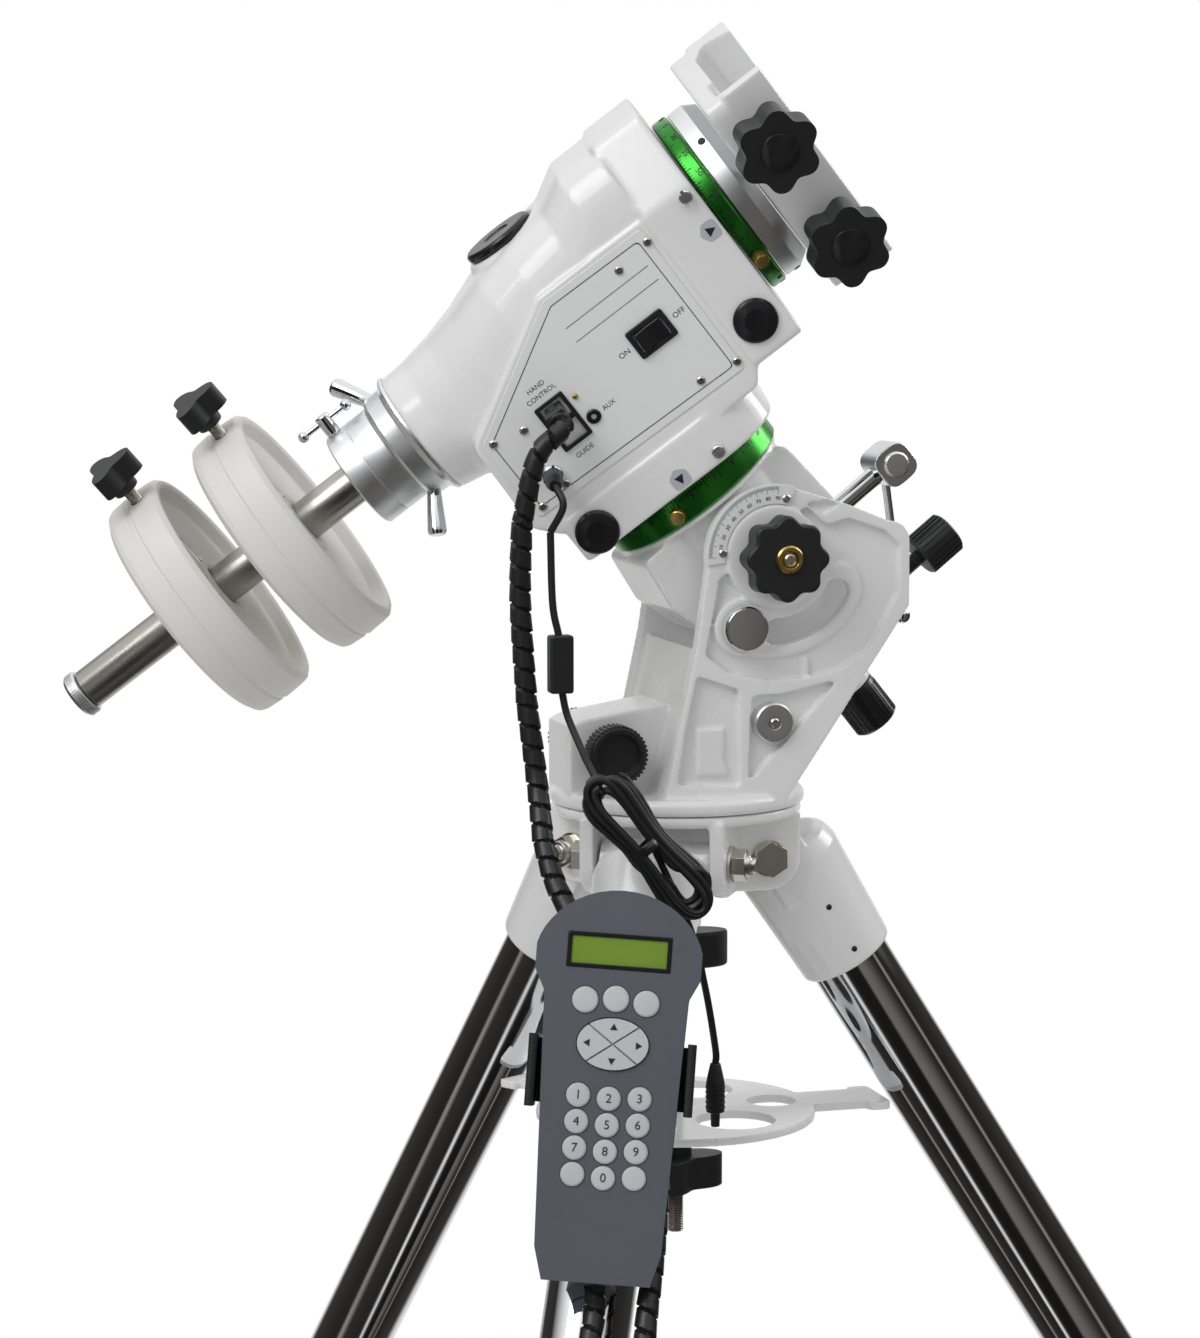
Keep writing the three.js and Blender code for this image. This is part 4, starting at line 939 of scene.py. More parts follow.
def section(x, half, low, high, power, count=56):
    made = []
    for k in range(count):
        t = 2 * math.pi * k / count
        c, s = math.cos(t), math.sin(t)
        y = half * math.copysign(abs(c) ** (2 / power), c)
        z = (high - low) / 2 * math.copysign(abs(s) ** (2 / power), s)
        made.append((x, y, (high + low) / 2 + z))
    return made


def head_casting():
    flats = rounded([(77, 30), (0, 31), (-84, -16), (-86, -76), (-74, -90), (70, -90), (77, -80)],
                    [0, 8, 8, 6, 6, 6, 0], 4)
    dome = [(-109.5, 37, -38, 36, 2), (-108, 40, -41, 39, 2), (-92, 42, -44, 40, 2),
            (-72, 48, -56, 43, 2.2), (-50, 55, -64, 48, 2.6), (-24, 59, -66, 57, 3),
            (0, 60, -66, 62, 3.2), (30, 60, -66, 66, 3.4), (50, 60, -66, 77, 4),
            (77, 60, -66, 77, 4)]
    half = [(64, -80), (64, 30), (40, 78)]
    block = rounded(half + [(-y, z) for y, z in reversed(half)], [5, 8, 8, 8, 8, 5], 4)
    corners = [(-73, -64), (68, -64), (68, 64), (-73, 64)]
    adds = [prism(flats, -62, 62, "y"), loft([section(*d) for d in dome]),
            prism(block, 76, 110, "x"), prism(rounded(corners, [8, 44, 44, 8], 10), -112.5, -84),
            lathe([(0, 30), (27, 30), (25, 61), (0, 61)], 72, 0.5)]
    cuts = [prism(rounded(PANEL_EDGE, 3, 3), -70, -60.6, "y"), cylinder(24.5, 61, 90),
            cylinder(48.5, -120, -92.5), cylinder(14, -90, 80),
            at(cylinder(13, -140, -16), lay="x"), at(cylinder(19.5, 60, 120), lay="x")]
    for x, z in (DEC_WORM, RA_WORM):
        cuts.append(at(cylinder(10.5, -80, 36), x, 0, z, "y"))
    piece("head_casting", cast(adds, cuts, 1.2, 9), HEAD, "head", WHITE,
          ["head_housing"])


PANEL_EDGE = [(72, 27), (1, 28), (-79, -18), (-79, -73), (71, -76)]
PANEL_SCREWS = [(70, 18), (47, 15), (-54, -25.5), (-73, -21), (69, -70), (45.5, -66), (-54, -66),
                (-73, -68.5)]


def control_panel():
    plate = rounded([(71.7, 26.7), (1.2, 27.7), (-78.7, -18), (-78.7, -72.7), (70.7, -75.7)], 3, 3)
    plate = carve(prism(plate, -62.6, -60.8, "y"), box(29, 50, -70, -50, -33.5, -18.5),
                  box(-42, -23, -70, -50, -51, -20))
    piece("printed_control_panel", plate, HEAD, "head", PANEL, ["control_panel"],
          bevel=0.3)
    bezel = carve(prism(rect(39.5, -26, 26, 19, 2), -64.4, -62.6, "y"),
                  box(29.6, 49.4, -70, -50, -32.2, -19.8))
    piece("switch_bezel", bezel, HEAD, "head", BLACK, bevel=0.5)
    sockets = carve(prism(rect(-32.5, -35.5, 20, 31, 1), -64.2, -52, "y"),
                    box(-40, -25, -70, -54, -49, -37), box(-40, -25, -70, -54, -34, -22))
    piece("socket_frame", sockets, HEAD, "head", BLACK, bevel=0.4)
    ring = lathe([(2.6, 60), (6.6, 60), (6.6, 66), (5.6, 67), (3.4, 67), (2.6, 64), (2.6, 60)], 40,
                 0.3)
    piece("power_socket_ring", ring, spot(HEAD, POWER_SOCKET[0], 0, POWER_SOCKET[1], "-y"), "head",
          CHROME)
    jack = lathe([(1.6, 60), (4.4, 60), (4.4, 63.6), (3.6, 64.2), (1.6, 64.2), (1.6, 60)], 32, 0.3)
    piece("round_port", jack, spot(HEAD, -16.6, 0, -44, "-y"), "head", GLOSS_BLACK)
    lamp = lathe([(0, 60), (1.8, 60), (1.8, 63.2), (0.9, 64.4), (0, 64.6)], 24, 0.2)
    piece("power_lamp", lamp, spot(HEAD, -18, 0, -28, "-y"), "head", BRASS)
    piece("panel_print", merged(panel_print()), HEAD, "head", INK)
    screws("panel_screws", [spot(HEAD, x, -62.6, z, "-y") for x, z in PANEL_SCREWS], "head", 2.7,
           1.4)


def panel_print():
    """Printed marks: a border line, two rules, and labels for the switch and the ports."""
    made = []
    for word, x, z, size in (("ON", 20, -26, 3.4), ("OFF", 59.5, -26, 3.4),
                             ("POWER", -58, -45.5, 3), ("HAND", -33, -9.5, 3),
                             ("CONTROL", -33, -15, 3), ("AUX", -5.5, -44, 3),
                             ("GUIDE", -33, -57, 3)):
        here = spot(Matrix.Identity(4), x, -62.62, z, "-y")
        made.append(moved(lettering(word, size, 0.06), here))
    for z in (-3.2, 6.8):
        made.append(box(2, 62, -62.72, -62.5, z, z + 0.35))
    border = rounded([(66, 22), (3, 23), (-74, -20.5), (-74, -68), (66, -71)], 3, 3)
    inner = rounded([(65.5, 21.5), (3.1, 22.5), (-73.5, -20.8), (-73.5, -67.5), (65.5, -70.5)], 3,
                    3)
    made.append(carve(prism(border, -62.72, -62.5, "y"), prism(inner, -63.5, -61.5, "y")))
    return made


def head_fittings():
    rocker = prism([(-9, 3), (-9, -5.2), (0, -2.2), (9, -3.4), (9, 3)], -6, 6)
    piece("power_rocker_switch", rocker, spot(HEAD, 39.5, -62.6, -26), "power_switch", GLOSS_BLACK,
          ["power_switch"], bevel=0.8)
    cap = lathe([(0, 61.4), (21.4, 61.4), (22.5, 62.6), (22.5, 65.4), (21, 67), (9, 67),
                 (8.4, 66.2), (0, 66.2)], 96, 0.6)
    piece("polar_scope_cap", cap, HEAD, "head", GLOSS_BLACK, ["polar_cap"])
    for (x, z), name, stands in ((DEC_WORM, "dec", "dec_worm_cap"),
                                 (RA_WORM, "ra", "ra_worm_cap")):
        dome = lathe([(0, 58), (9, 58), (9, 64.2), (13.5, 64.2), (13.2, 65.6), (12, 66.8),
                      (7, 68.5), (0, 69)], 72, 0.5)
        piece(name + "_worm_cover", dome, spot(HEAD, x, 0, z, "-y"), "head", GLOSS_BLACK,
              [stands])
        profile = [(0, -46), (5, -46), (5, -20), (8, -17)]
        for k in range(12):
            h = -16 + k * 2.7
            profile += [(9, h), (9, h + 0.9), (7.2, h + 1.4), (7.2, h + 2.2)]
        profile += [(8, 17), (5, 20), (5, 34), (0, 34)]
        piece(name + "_worm_thread", lathe(profile, 48, 0.1), spot(HEAD, x, 0, z, "y"), name
              + "_worm", BRASS, [name + "_worm"])
    ring = lathe([(14.5, -126), (34, -126), (35.4, -124), (36, -114), (40.5, -110.5),
                  (40.5, -108.4), (14.5, -108.4), (14.5, -126)], 96, 0.5)
    piece("shaft_lock_collar", at(ring, lay="x"), HEAD, "shaft_lock_ring", ALUMINIUM,
          ["shaft_lock_ring"])
    levers = []
    for angle in (120, -60):
        lever = lathe([(0, 36), (4, 36), (5.8, 63), (5.8, 65), (4.5, 67), (0, 67)], 32, 0.6)
        place = (Matrix.Rotation(math.radians(90 - angle), 4, "X")
                 @ Matrix.Translation(Vector((-103, 0, 0)) * MM)
                 @ Matrix.Rotation(math.radians(-30), 4, "Y"))
        levers.append(moved(lever, place))
    piece("shaft_lock_levers", merged(levers), HEAD, "shaft_lock_ring", CHROME)
    sleeve = lathe([(12.8, -157), (30.5, -157), (31.5, -156), (31.5, -143), (31, -142.6),
                    (31, -142), (31.5, -141.6), (31.5, -127.4), (30.6, -126.5), (12.8, -126.5),
                    (12.8, -157)], 96, 0.2)
    piece("shaft_clamp_sleeve", sleeve, spot(HEAD, lay="x"), "head", ALUMINIUM,
          ["shaft_sleeve"])
    tee = [cylinder(3.2, 14, 33, 24), lathe([(0, 32), (4.6, 32), (4.6, 44.2), (3.8, 45), (0, 45)],
                                            32, 0.4),
           at(cylinder(1.7, -15, 15, 20), z=41, lay="x"), ball(3.4, -16, 0, 41),
           ball(3.4, 16, 0, 41)]
    piece("shaft_clamp_tee", merged(tee), spot(HEAD, -150), "shaft_clamp_screw", CHROME,
          ["shaft_clamp_screw"])
    studs_and_marks()


def studs_and_marks():
    """Clutch studs and the two index labels that stand on the casting."""
    stud = carve(lathe([(0, -6), (4, -6), (4, 5.4), (3.4, 6), (0, 6)], 32, 0.3),
                 box(-1.1, 1.1, -6, 6, 1.2, 9))
    for label, x, z, turn in (("dec", 103, 26, 0), ("ra", 28.3, -105, 90)):
        piece(label + "_clutch_stud", stud.copy(), spot(HEAD, x, -63.8, z, "-y", turn=turn),
              "head", ALUMINIUM)
    label_outline = rounded([(-6, 1.5), (6, 1.5), (6, 10), (0, 14), (-6, 10)], 3, 4)
    for label, x, z, turn in (("dec", 109.6, 1, 90), ("ra", 0.6, -112, 0)):
        place = spot(HEAD, x, -63.95, z, "-y", turn=turn)
        piece(label + "_index_label", prism(label_outline, -0.2, 0.2), place, "head", LABEL)
        arrow = prism([(0, 3.4), (3, 9), (-3, 9)], 0.2, 0.35)
        piece(label + "_index_mark", arrow, place, "head", INK)


# --------------------------------------------------- counterweights and shaft


def counterweights():
    rod = lathe([(0, -367), (11.6, -367), (12.5, -366), (12.5, -47), (0, -47)], 96, 0.3)
    piece("counterweight_rod", rod, spot(HEAD, lay="x"), "shaft", STEEL,
          ["counterweight_shaft"])
    end = [lathe([(0, -375.5), (12.6, -375.5), (14.3, -373.8), (14.3, -368.2), (13.6, -367.4),
                  (0, -367.4)], 72, 0.5)]
    end += rib_ring(rect(14.2, 0, 0.8, 0.8), -373.5, -368.6, 48)
    piece("rod_end_stop", merged(end), spot(HEAD, lay="x"), "toe_saver", ALUMINIUM,
          ["toe_saver"])
    for label, x in (("inner", -208.5), ("outer", -272.5)):
        place = (HEAD @ Matrix.Translation(Vector((x, 0, 0)) * MM)
                 @ Matrix.Rotation(math.radians(12), 4, "X"))
        profile = [(12.9, -19.5), (66, -19.5), (70, -18.6), (74.6, -15.8), (75.8, -12.5),
                   (76.6, -3), (75.7, -1.6), (75.7, -0.4), (76.9, 1), (76.4, 12), (75.8, 16.4),
                   (73, 19.3), (70.4, 19.3), (68.6, 18), (66, 11.5), (22, 10.5), (20.5, 11.6),
                   (16, 11.6), (12.9, 10.6), (12.9, -19.5)]
        disc = lathe(profile, 144, 0.9)
        disc = carve(at(disc, lay="x"), at(cylinder(4.4, 5, 90, 32), 7))
        piece("counterweight_casting_" + label, disc, place, "weight_" + label, SATIN,
              ["counterweight_" + label])
        grip = [prism(lobed(17, 3, 0.48), 92, 106),
                lathe([(0, 86), (8, 86), (8.6, 92), (0, 92)], 32, 0.3)]
        knob_place = place @ Matrix.Translation(Vector((7, 0, 0)) * MM)
        piece("weight_clamp_knob_" + label, merged(grip), knob_place, "weight_knob_" + label,
              BLACK, ["weight_knob_" + label], bevel=1.8)
        piece("weight_clamp_bolt_" + label, thread(3.9, 13.5, 88, 1.3), knob_place, "weight_knob_"
              + label, ZINC)


# ------------------------------------------------------------- declination


def declination():
    ring_circle("dec_dial", spot(HEAD, lay="x"), "dec_circle", ["dec_setting_circle"], 110.8,
                121.4, -150, lambda k: k * 15 % 100, False)
    flange = lathe([(0, 64), (18, 64), (18, 110.6), (40, 110.6), (40, 122), (58.2, 122),
                    (59, 122.8), (59, 132.4), (58.4, 133.2), (54.4, 139.6), (53.6, 140), (0, 140)],
                   144, 0.3)
    piece("dec_head_flange", flange, spot(HEAD, lay="x"), "declination", ALUMINIUM,
          ["dec_flange"])
    screws("flange_set_screws", spots_around(spot(HEAD, lay="x"), 58.9, 129.6, (-105, 15, 135)),
           "declination", 2.4, 0.7, INK)
    piece("dec_drive_wheel", toothed_wheel(86, 98, 18.4), spot(HEAD, lay="x"), "declination",
          BRASS, ["dec_worm_wheel"])
    base = prism(rounded([(-52, -70), (52, -70), (52, 70), (-52, 70)], 10, 6), 140.5, 155, "x")
    rail = prism([(154, 24), (154, 52), (182, 52), (182, 30), (168, 38), (162, 38)], -70, 70)
    wall = box(154, 181, -52, -43, -70, 70)
    cuts = [box(150.5, 190, -42.5, -20, -80, 80), at(cylinder(12, 151, 160), lay="x")]
    for z in (36.5, -36.5):
        cuts.append(at(cylinder(5.4, -60, -38), 161, 0, z, "y"))
    piece("saddle_casting", cast([base, rail, wall], cuts, 1.2, 3), SADDLE, "declination", WHITE,
          ["saddle_body"])
    corners = [spot(SADDLE, 155, y, z, "x") for y in (14, -14) for z in (30, -30)]
    screws("saddle_screws", corners, "declination", 4.2, 2.4, STEEL)
    jaw = prism([(151.5, -40), (151.5, -27), (162, -27), (168, -27), (180, -33), (180, -40)], -62,
                62)
    piece("saddle_clamp_jaw", jaw, SADDLE, "saddle_jaw", ALUMINIUM,
          ["saddle_jaw"], bevel=0.8)
    for label, z in (("upper", 36.5), ("lower", -36.5)):
        knob = [prism(lobed(24.5, 6, 0.2, 20, 1.3), 68, 88),
                lathe([(0, 56), (11, 56), (12, 58), (13, 69), (0, 69)], 48, 0.5)]
        place = spot(SADDLE, 161, 0, z, "-y")
        piece("saddle_clamp_knob_" + label, merged(knob), place, "saddle_knob_" + label, BLACK,
              ["saddle_knob_" + label], bevel=1.8)
        dome = lathe([(0, 87), (12, 87), (11.2, 89), (7, 90.6), (0, 91)], 48, 0.4)
        piece("saddle_knob_dome_" + label, dome, place, "saddle_knob_" + label, GLOSS_BLACK)
        piece("saddle_knob_stud_" + label, thread(4.9, 42.5, 57), place, "saddle_knob_" + label,
              ZINC)


# ------------------------------------------------------------ hand controller


def pad_outline(grow=0.0):
    top = 108
    right = [(30 + grow, -top - grow), (35 + grow, -top + 18), (40 + grow, 50), (46 + grow, 62),
             (46 + grow, 76)]
    curve = []
    for k in range(1, 11):
        t = k / 10
        p = [(46, 76), (42, 92), (24, top), (0, top)]
        weights = ((1 - t) ** 3, 3 * t * (1 - t) ** 2, 3 * t * t * (1 - t), t ** 3)
        curve.append((sum(w * (q[0] + (grow if q[0] else 0)) for w, q in zip(weights, p)),
                      sum(w * (q[1] + grow * (q[1] > 90)) for w, q in zip(weights, p))))
    right = rounded(right, [6, 0, 8, 8, 6], 5, closed=False) + curve
    return right + [(-x, z) for x, z in reversed(right[:-1])]


def hand_controller():
    holes = [box(-29, 29, -20, -11.9, 64, 84)]
    holes += [box(-27, 27, -10.5, -4.5, -60, 58)]
    for x, z, r in key_spots():
        holes.append(at(cylinder(r + 0.35, -20, -9), x, 0, z, "y"))
    holes.append(prism(oval(20.5, 15, 0, 23), -20, -9, "y"))
    shell = prism(rounded(pad_outline(), 0.01, 1), -13.5, 13.5, "y")
    shell = carve(shell, *holes)
    piece("handset_case", shell, PAD, "leg_c", GREY, ["handset_shell"], bevel=1.6)
    groove = carve(prism(pad_outline(0.35), -0.6, 0.6, "y"), prism(pad_outline(-1.0), -2, 2, "y"))
    piece("handset_case_seam", groove, PAD, "leg_c", BLACK)
    frame_ring = carve(prism(rect(0, 74, 58, 20, 2), -14.0, -11.8, "y"),
                       prism(rect(0, 74, 53, 15, 1), -16, -9, "y"))
    piece("display_bezel", frame_ring, PAD, "leg_c", GLOSS_BLACK, bevel=0.4)
    piece("display_window", prism(rect(0, 74, 53.6, 15.6, 1), -12.9, -11.8, "y"), PAD, "leg_c",
          GREEN_CELL, bevel=0.2)
    keypad()
    holder()


def key_spots():
    spots = []
    for x in (-17, 0, 17):
        spots.append((x, 48 if x == 0 else 46.5, 7.3))
        spots += [(x, z - 1 if x == 0 else z, 6.7) for z in (-6, -20.5, -35, -49.5)]
    return spots


def keypad():
    sheet = [box(-26, 26, -8.3, -6.7, -59, 57)]
    faces = []
    figures = iter(("", "1", "4", "7", "", "", "2", "5", "8", "0", "", "3", "6", "9", ""))
    for x, z, r in key_spots():
        key = lathe([(0, 7.5), (r, 7.5), (r, 14.3), (r - 1, 15.2), (0, 15.6)], 40, 0.5)
        sheet.append(at(key, x, 0, z, "-y"))
        figure = next(figures)
        if figure:
            faces.append(moved(lettering(figure, 5), spot(Matrix.Identity(4), x, -15.6, z, "-y")))
    half = prism(oval(19.8, 14.2, 0, 23), -15.4, -8, "y")
    bars = [moved(box(-30, 30, -20, -12, -0.45, 0.45), Matrix.Translation(Vector((0, 0, 23)) * MM)
                  @ Matrix.Rotation(math.radians(a), 4, "Y")) for a in (36, -36)]
    sheet.append(carve(half, *bars))
    piece("handset_keys", merged(sheet), PAD, "keypad", KEY, ["handset_keypad"],
          bevel=0.5)
    for angle, reach in ((0, 14), (90, 9), (180, 14), (270, 9)):
        tri = prism([(reach + 2.4, 0), (reach - 1.2, 2.1), (reach - 1.2, -2.1)], 0, 0.25)
        place = spot(Matrix.Identity(4), 0, -15.35, 23, "-y", turn=angle)
        faces.append(moved(tri, place))
    piece("key_figures", merged(faces), PAD, "keypad", INK)


def holder():
    back = prism(rounded([(-30, -40), (30, -40), (30, 44), (-30, 44)], 6, 4), 13.8, 17.5, "y")
    arm = box(-8, 16, 16.5, 66, -12, 12)
    solids = [back, arm]
    for side in (-1, 1):
        clip = prism(rounded([(side * 44 - 2.5, -16.5), (side * 44 + 2.5, -16.5),
                              (side * 44 + 2.5, 16.5), (side * 44 - 2.5, 16.5)], 2, 3), -14, 26)
        low, high = sorted((side * 28, side * 45))
        solids += [clip, box(low, high, 13.8, 16.5, -12, 24)]
    leg_in_pad = PAD.inverted() @ spot(LEG["c"], 18)
    ring = moved(lathe([(25.8, -159), (28.9, -159), (29.9, -158), (29.9, -138), (28.9, -137),
                        (25.8, -137), (25.8, -159)], 72, 0.4), leg_in_pad)
    gap = moved(cylinder(25.7, -190, -90, 72), leg_in_pad)
    solids = [carve(arm, gap) if mesh is arm else mesh for mesh in solids]
    piece("handset_cradle", merged(solids + [ring]), PAD, "leg_c", BLACK,
          ["handset_holder"], bevel=0.8)


# ------------------------------------------------------------------- cables


def in_hub(base, x, y, z):
    """A point of another frame, in the hub's frame and in millimetres."""
    point = HUB.inverted() @ base @ (Vector((x, y, z)) * MM)
    return tuple(point / MM)


def in_world(point):
    return HUB @ (Vector(point) * MM)


def flexible(name, points, radius, bodies, wrap=None):
    """One length of cable. With two bodies it is placed in the world and joined to neither."""
    mesh = tube(points, radius, 18 if wrap else 10, 0.9 if wrap else 2.0, wrap)
    made = piece(name, mesh, HUB, None if len(bodies) == 2 else bodies[0], CABLE)
    if len(bodies) == 2:
        made.matrix_world = Matrix.Identity(4)
        mesh.transform(HUB)
        in_world(points[0])
        in_world(points[-1])
        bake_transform(made)
    return made


def rj_plug():
    body = [prism(rect(-32.5, -28, 11, 8, 0.8), -77, -60, "y"),
            prism(rect(-32.5, -28, 12.5, 9.5, 2), -88, -75, "y"),
            box(-35, -30, -78, -66, -23.8, -22.6)]
    piece("handset_plug", merged(body), HEAD, "head", BLACK, bevel=0.6)


def handset_cable():
    rj_plug()
    top = [in_hub(HEAD, -32.5, -86, -28), in_hub(HEAD, -33.5, -92, -33), (-107.7, -80, 221.7),
           (-116, -76, 183.9)]
    flexible("handset_cable_upper", top, 6.0, ("head", "polar_housing"), 12)
    flexible("handset_cable_altitude", [top[-1], (-115.9, -71.5, 137.1), (-112.5, -72.5, 78.8)],
             6.2, ("polar_housing", "azimuth_base"), 12)
    flexible("handset_cable_azimuth", [(-112.5, -72.5, 78.8), (-108.2, -79.1, 33),
                                       (-108.4, -93.7, 0.3)], 6.2, ("azimuth_base", "tripod_hub"),
             12)
    flexible("handset_cable_hub", [(-108.4, -93.7, 0.3), (-105.4, -111.5, -22.9),
                                   (-96.7, -132, -45.5)], 6.2, ("tripod_hub", "leg_c"), 12)
    low = flexible("handset_cable_lower", [(-96.7, -132, -45.5), (-75.1, -149.3, -88.9),
                                           (-60.9, -161.1, -124), (-62, -174.4, -157.5),
                                           (-71.2, -199.9, -200.5), (-81.9, -220.6, -238),
                                           (-97, -243, -281), (-124, -243, -280),
                                           (-113, -219, -246), (-111, -215.7, -229.5)], 6.2,
                   ("leg_c",), 12)
    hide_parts("handset_cable")


def power_lead():
    collar = lathe([(0, 66), (5.4, 66), (5.4, 82), (3.6, 92), (0, 92)], 32, 0.6)
    piece("power_plug", collar, spot(HEAD, POWER_SOCKET[0], 0, POWER_SOCKET[1], "-y"), "head",
          BLACK)
    start = in_hub(HEAD, -57, -91, -57)
    turn_down = in_hub(HEAD, -60, -97, -68)
    knee = (-98.4, -73.8, 177.6)
    flexible("power_lead_upper", [start, turn_down, knee], 2.2, ("head", "polar_housing"))
    flexible("power_lead_altitude", [knee, (-97.3, -74.2, 136.8), (-94, -75.2, 118)], 2.2,
             ("polar_housing", "azimuth_base"))
    block = prism(rounded([(-7, 84), (7, 84), (7, 118), (-7, 118)], 2, 4), -5, 5, "y")
    place = HUB @ Matrix.Translation(Vector((-93, -75.5, 0)) * MM)
    piece("power_lead_block", block, place, "azimuth_base", BLACK, bevel=1.2)
    flexible("power_lead_azimuth", [(-92, -75.6, 84), (-88.9, -76.8, 69.8), (-81.6, -87.5, 47.5)],
             2.2, ("azimuth_base", "tripod_hub"))
    flexible("power_lead_hub", [(-81.6, -87.5, 47.5), (-79, -98, 38), (-77, -106, 27)], 2.2,
             ("tripod_hub", "leg_c"))
    lead_coil()


def lead_coil():
    """The spare lead, wound in a long skein and pinched by a tie at its middle."""
    centre = Vector((-52.3, -117.7, -1.6))
    along = Vector((63.2, -19.9, -77.7)).normalized()
    depth = (LOOK - along * LOOK.dot(along)).normalized()
    across = along.cross(depth)
    points = [(-77, -106, 27)]
    loops, steps = 8, 20
    for i in range(loops * steps):
        t = 2 * math.pi * i / steps + math.pi * 0.95
        turn = i / steps
        width = 9 + 2.3 * ((turn * 3.0) % loops)
        u = math.cos(t) * (45 + 5 * math.sin(turn * 1.3))
        v = math.sin(t) * width * (0.42 + 0.75 * math.cos(t) ** 2)
        w = (turn - loops / 2) * 2.3 + 2.0 * math.sin(t + turn)
        points.append(tuple(centre + along * u + across * v + depth * w * 0.8))
    points += [(-30, -122, -45), (-17.2, -115.2, -84.7), (-5.7, -99.9, -126.2),
               (-5.2, -98.5, -136)]
    coil = flexible("power_lead_coil", points, 2.1, ("leg_c",))
    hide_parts("power_cable")
    tie = lathe([(6.5, -3), (8.4, -3), (8.8, 0), (8.4, 3), (6.5, 3), (6.5, -3)], 40, 0.5)
    tie.transform(Matrix.Diagonal((0.95, 1.5, 1, 1)))
    base = axes_matrix(across, along.cross(across), along, Vector((0, 0, 0)))
    base.translation = in_world(centre)
    piece("lead_tie", tie, base, "leg_c", GLOSS_BLACK)
    plug = [lathe([(0, -38), (2.6, -38), (2.8, -30), (5.4, -29), (5.6, -12), (4.4, -6), (3, 0),
                   (0, 0)], 36, 0.5)]
    plug += [lathe([(4.6, h), (5.9, h + 0.4), (5.9, h + 1.2), (4.6, h + 1.6), (4.6, h)], 36, 0.1)
             for h in (-27, -24, -21, -18, -15)]
    place = HUB @ Matrix.Translation(Vector((-5.2, -98.5, -135.5)) * MM)
    piece("lead_end_plug", merged(plug), place, "leg_c", BLACK)


# -------------------------------------------------------------------- stage

AMBIENT = 0.52
FLOOR_LIGHT = 0.4
FLOOR_FADE = (0.55, 1.45)
HORIZON = (0.30, 0.62)
# Where round the room, as part of a turn, each strip starts, and how bright it is.
STRIPS = [(0.00, 0.01), (0.03, 0.02), (0.055, 0.85), (0.075, 0.02), (0.17, 0.03), (0.20, 0.30),
          (0.215, 0.02), (0.38, 0.04), (0.45, 0.8), (0.55, 0.8), (0.62, 0.04), (0.78, 0.02),
          (0.80, 0.28), (0.815, 0.02), (0.93, 0.16), (0.95, 0.01)]

LENS = 96.462
EYE_RIGHT, EYE_BACK, EYE_UP = 0.0269, 2.170, 0.3234
YAW, PITCH, ROLL = 0.03375, -0.1083, -0.0008


def reflected_walls(tree, direction):
    """The room's colour as reflected from this direction, and the direction's rise."""
    turned = node(tree, "ShaderNodeVectorRotate", rotation_type="Z_AXIS")
    turned.inputs["Angle"].default_value = math.atan2(LOOK.x, LOOK.y)
    link(tree, direction, turned.inputs["Vector"])
    split = node(tree, "ShaderNodeSeparateXYZ")
    link(tree, turned.outputs["Vector"], split.inputs[0])
    angle = node(tree, "ShaderNodeMath", operation="ARCTAN2")
    link(tree, split.outputs["X"], angle.inputs[0])
    link(tree, split.outputs["Y"], angle.inputs[1])
    walls = node(tree, "ShaderNodeValToRGB")
    link(tree, spread(tree, angle.outputs[0], 0.0, 1.0, -math.pi, math.pi), walls.inputs["Fac"])
    set_ramp(walls.color_ramp, STRIPS)
    return walls.outputs["Color"], split.outputs["Z"]


def floor_finish():
    """Pale floor that fades to white far off, and shows the room's walls to reflections."""
    made = bpy.data.materials.new("pale_floor")
    made.use_nodes = True
    tree = made.node_tree
    shader = tree.nodes["Principled BSDF"]
    shader.inputs["Base Color"].default_value = (0.93, 0.93, 0.93, 1)
    shader.inputs["Roughness"].default_value = 0.8
    output = tree.nodes["Material Output"]
    geometry = node(tree, "ShaderNodeNewGeometry")
    length = node(tree, "ShaderNodeVectorMath", operation="LENGTH")
    link(tree, geometry.outputs["Position"], length.inputs[0])
    far = spread(tree, length.outputs["Value"], 0.0, 1.0, *FLOOR_FADE)
    white = node(tree, "ShaderNodeEmission")
    flip = node(tree, "ShaderNodeVectorMath", operation="SCALE")
    link(tree, geometry.outputs["Incoming"], flip.inputs[0])
    flip.inputs["Scale"].default_value = -1
    walls, _ = reflected_walls(tree, flip.outputs[0])
    rays = node(tree, "ShaderNodeLightPath")
    light = mix(tree, rays.outputs["Is Camera Ray"], (FLOOR_LIGHT,) * 3, (1.0, 1.0, 1.0))
    link(tree, mix(tree, rays.outputs["Is Glossy Ray"], light, walls), white.inputs["Color"])
    either = node(tree, "ShaderNodeMath", operation="MAXIMUM")
    link(tree, far, either.inputs[0])
    link(tree, rays.outputs["Is Glossy Ray"], either.inputs[1])
    blend = node(tree, "ShaderNodeMixShader")
    link(tree, either.outputs[0], blend.inputs[0])
    link(tree, shader.outputs[0], blend.inputs[1])
    link(tree, white.outputs[0], blend.inputs[2])
    link(tree, blend.outputs[0], output.inputs["Surface"])
    return made


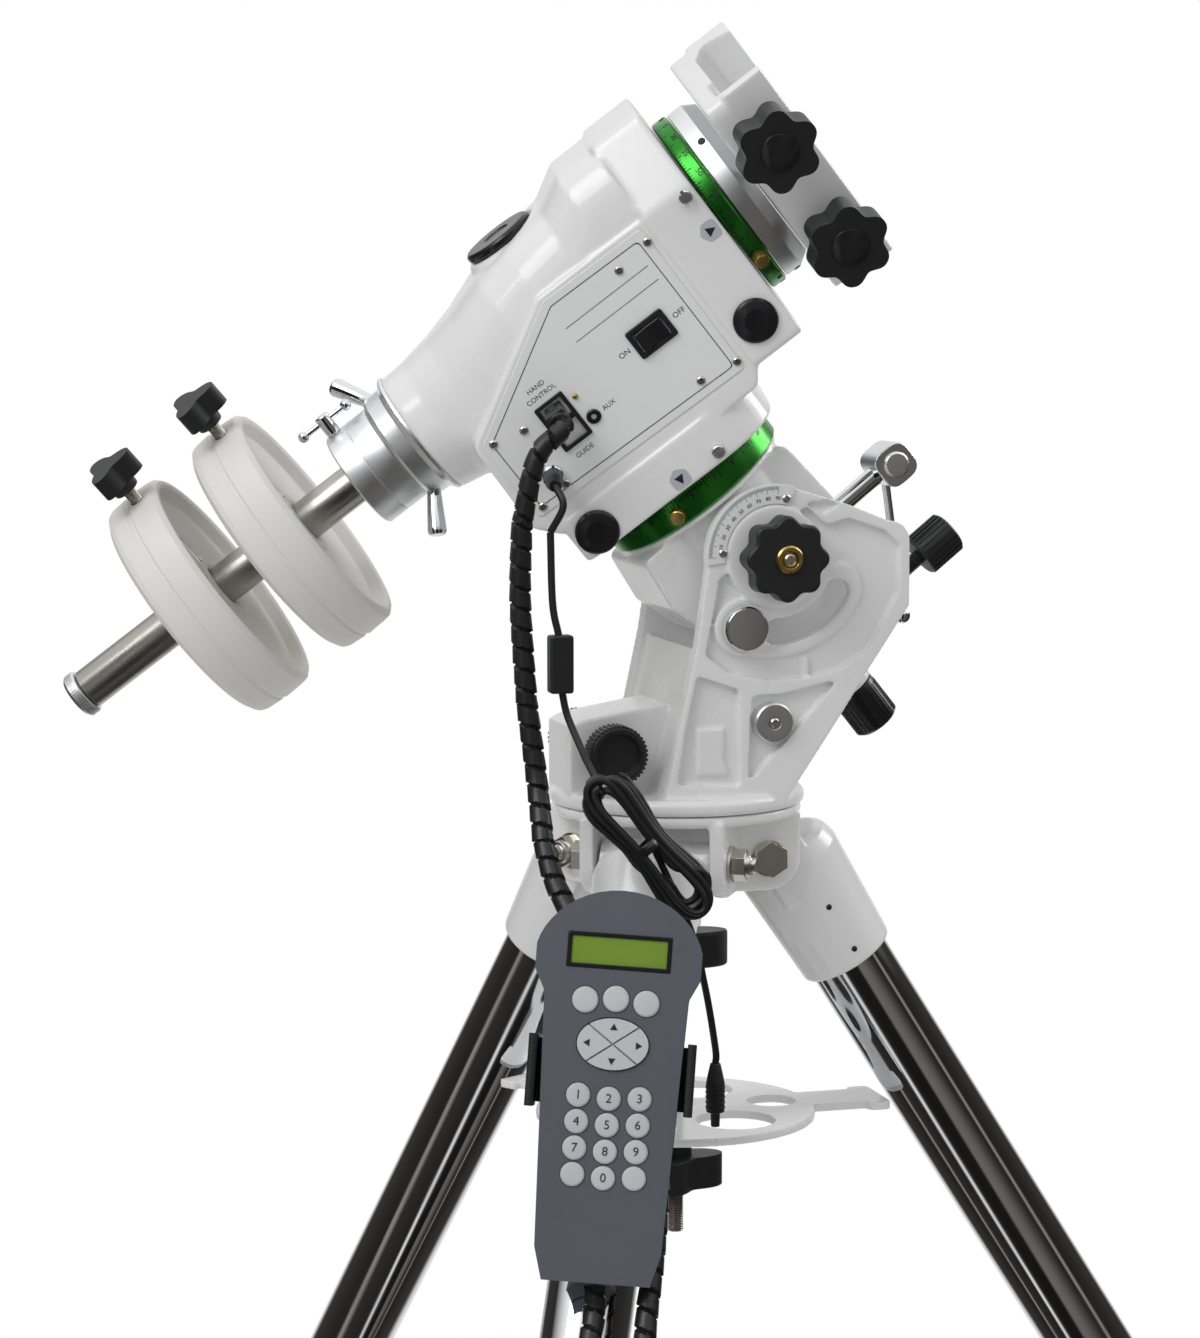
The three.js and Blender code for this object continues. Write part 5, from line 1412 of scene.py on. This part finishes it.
def studio_world():
    """White to the camera, soft white light, and dark walls with bright strips in reflections."""
    world = bpy.data.worlds.new("studio")
    world.use_nodes = True
    tree = world.node_tree
    rays = node(tree, "ShaderNodeLightPath")
    walls, rise = reflected_walls(tree, node(tree, "ShaderNodeTexCoord").outputs["Generated"])
    height = spread(tree, rise, 0.0, 1.0, *HORIZON)
    room = mix(tree, height, walls, (1.0, 1.0, 1.0))
    lit = mix(tree, rays.outputs["Is Glossy Ray"], (AMBIENT,) * 3, room)
    seen = mix(tree, rays.outputs["Is Camera Ray"], lit, (1.0, 1.0, 1.0))
    link(tree, seen, tree.nodes["Background"].inputs["Color"])
    bpy.context.scene.world = world


def set_ramp(ramp, stops):
    ramp.interpolation = "EASE"
    while len(ramp.elements) > 1:
        ramp.elements.remove(ramp.elements[-1])
    for k, (place, value) in enumerate(stops):
        stop = ramp.elements[0] if k == 0 else ramp.elements.new(place)
        stop.position = place
        warm = (value, value * 0.93, value * 0.86) if value < 0.6 else (value,) * 3
        stop.color = (*warm, 1)


def area_light(name, centre, target, size, power):
    data = bpy.data.lights.new(name, "AREA")
    data.shape = "RECTANGLE"
    data.size = size
    data.size_y = size
    data.energy = power
    made = linked(name, data)
    made.location = centre
    made.rotation_euler = (Vector(target) - Vector(centre)).to_track_quat("-Z", "Y").to_euler()


def studio():
    floor = mesh_of([(-6000, -6000, -1), (6000, -6000, -1), (6000, 6000, -1), (-6000, 6000, -1)],
                    [(0, 1, 2, 3)])
    floor.materials.append(floor_finish())
    linked("floor", floor)
    studio_world()
    bpy.context.scene.view_settings.view_transform = "Standard"
    target = HUB.translation + Vector((0, 0, 0.2))
    area_light("key_light", target - LOOK * 1.6 - RIGHT * 1.3 + UP * 1.5, target, 1.4, 26)
    area_light("rim_light", target + LOOK * 0.8 + RIGHT * 1.6 + UP * 1.0, target, 1.0, 16)


def camera():
    data = bpy.data.cameras.new("camera")
    data.lens = LENS
    made = linked("camera", data)
    eye = HUB.translation + RIGHT * EYE_RIGHT - LOOK * EYE_BACK + UP * EYE_UP
    aim = (Matrix.Rotation(YAW, 4, "Y") @ Matrix.Rotation(PITCH, 4, "X")
           @ Matrix.Rotation(ROLL, 4, "Z"))
    made.matrix_world = axes_matrix(RIGHT, UP, -LOOK, eye) @ aim
    bpy.context.scene.camera = made


tripod_head()
tripod_legs()
tray_and_bolt()
azimuth_base()
polar_housing()
head_casting()
control_panel()
head_fittings()
counterweights()
declination()
hand_controller()
handset_cable()
power_lead()
studio()
camera()
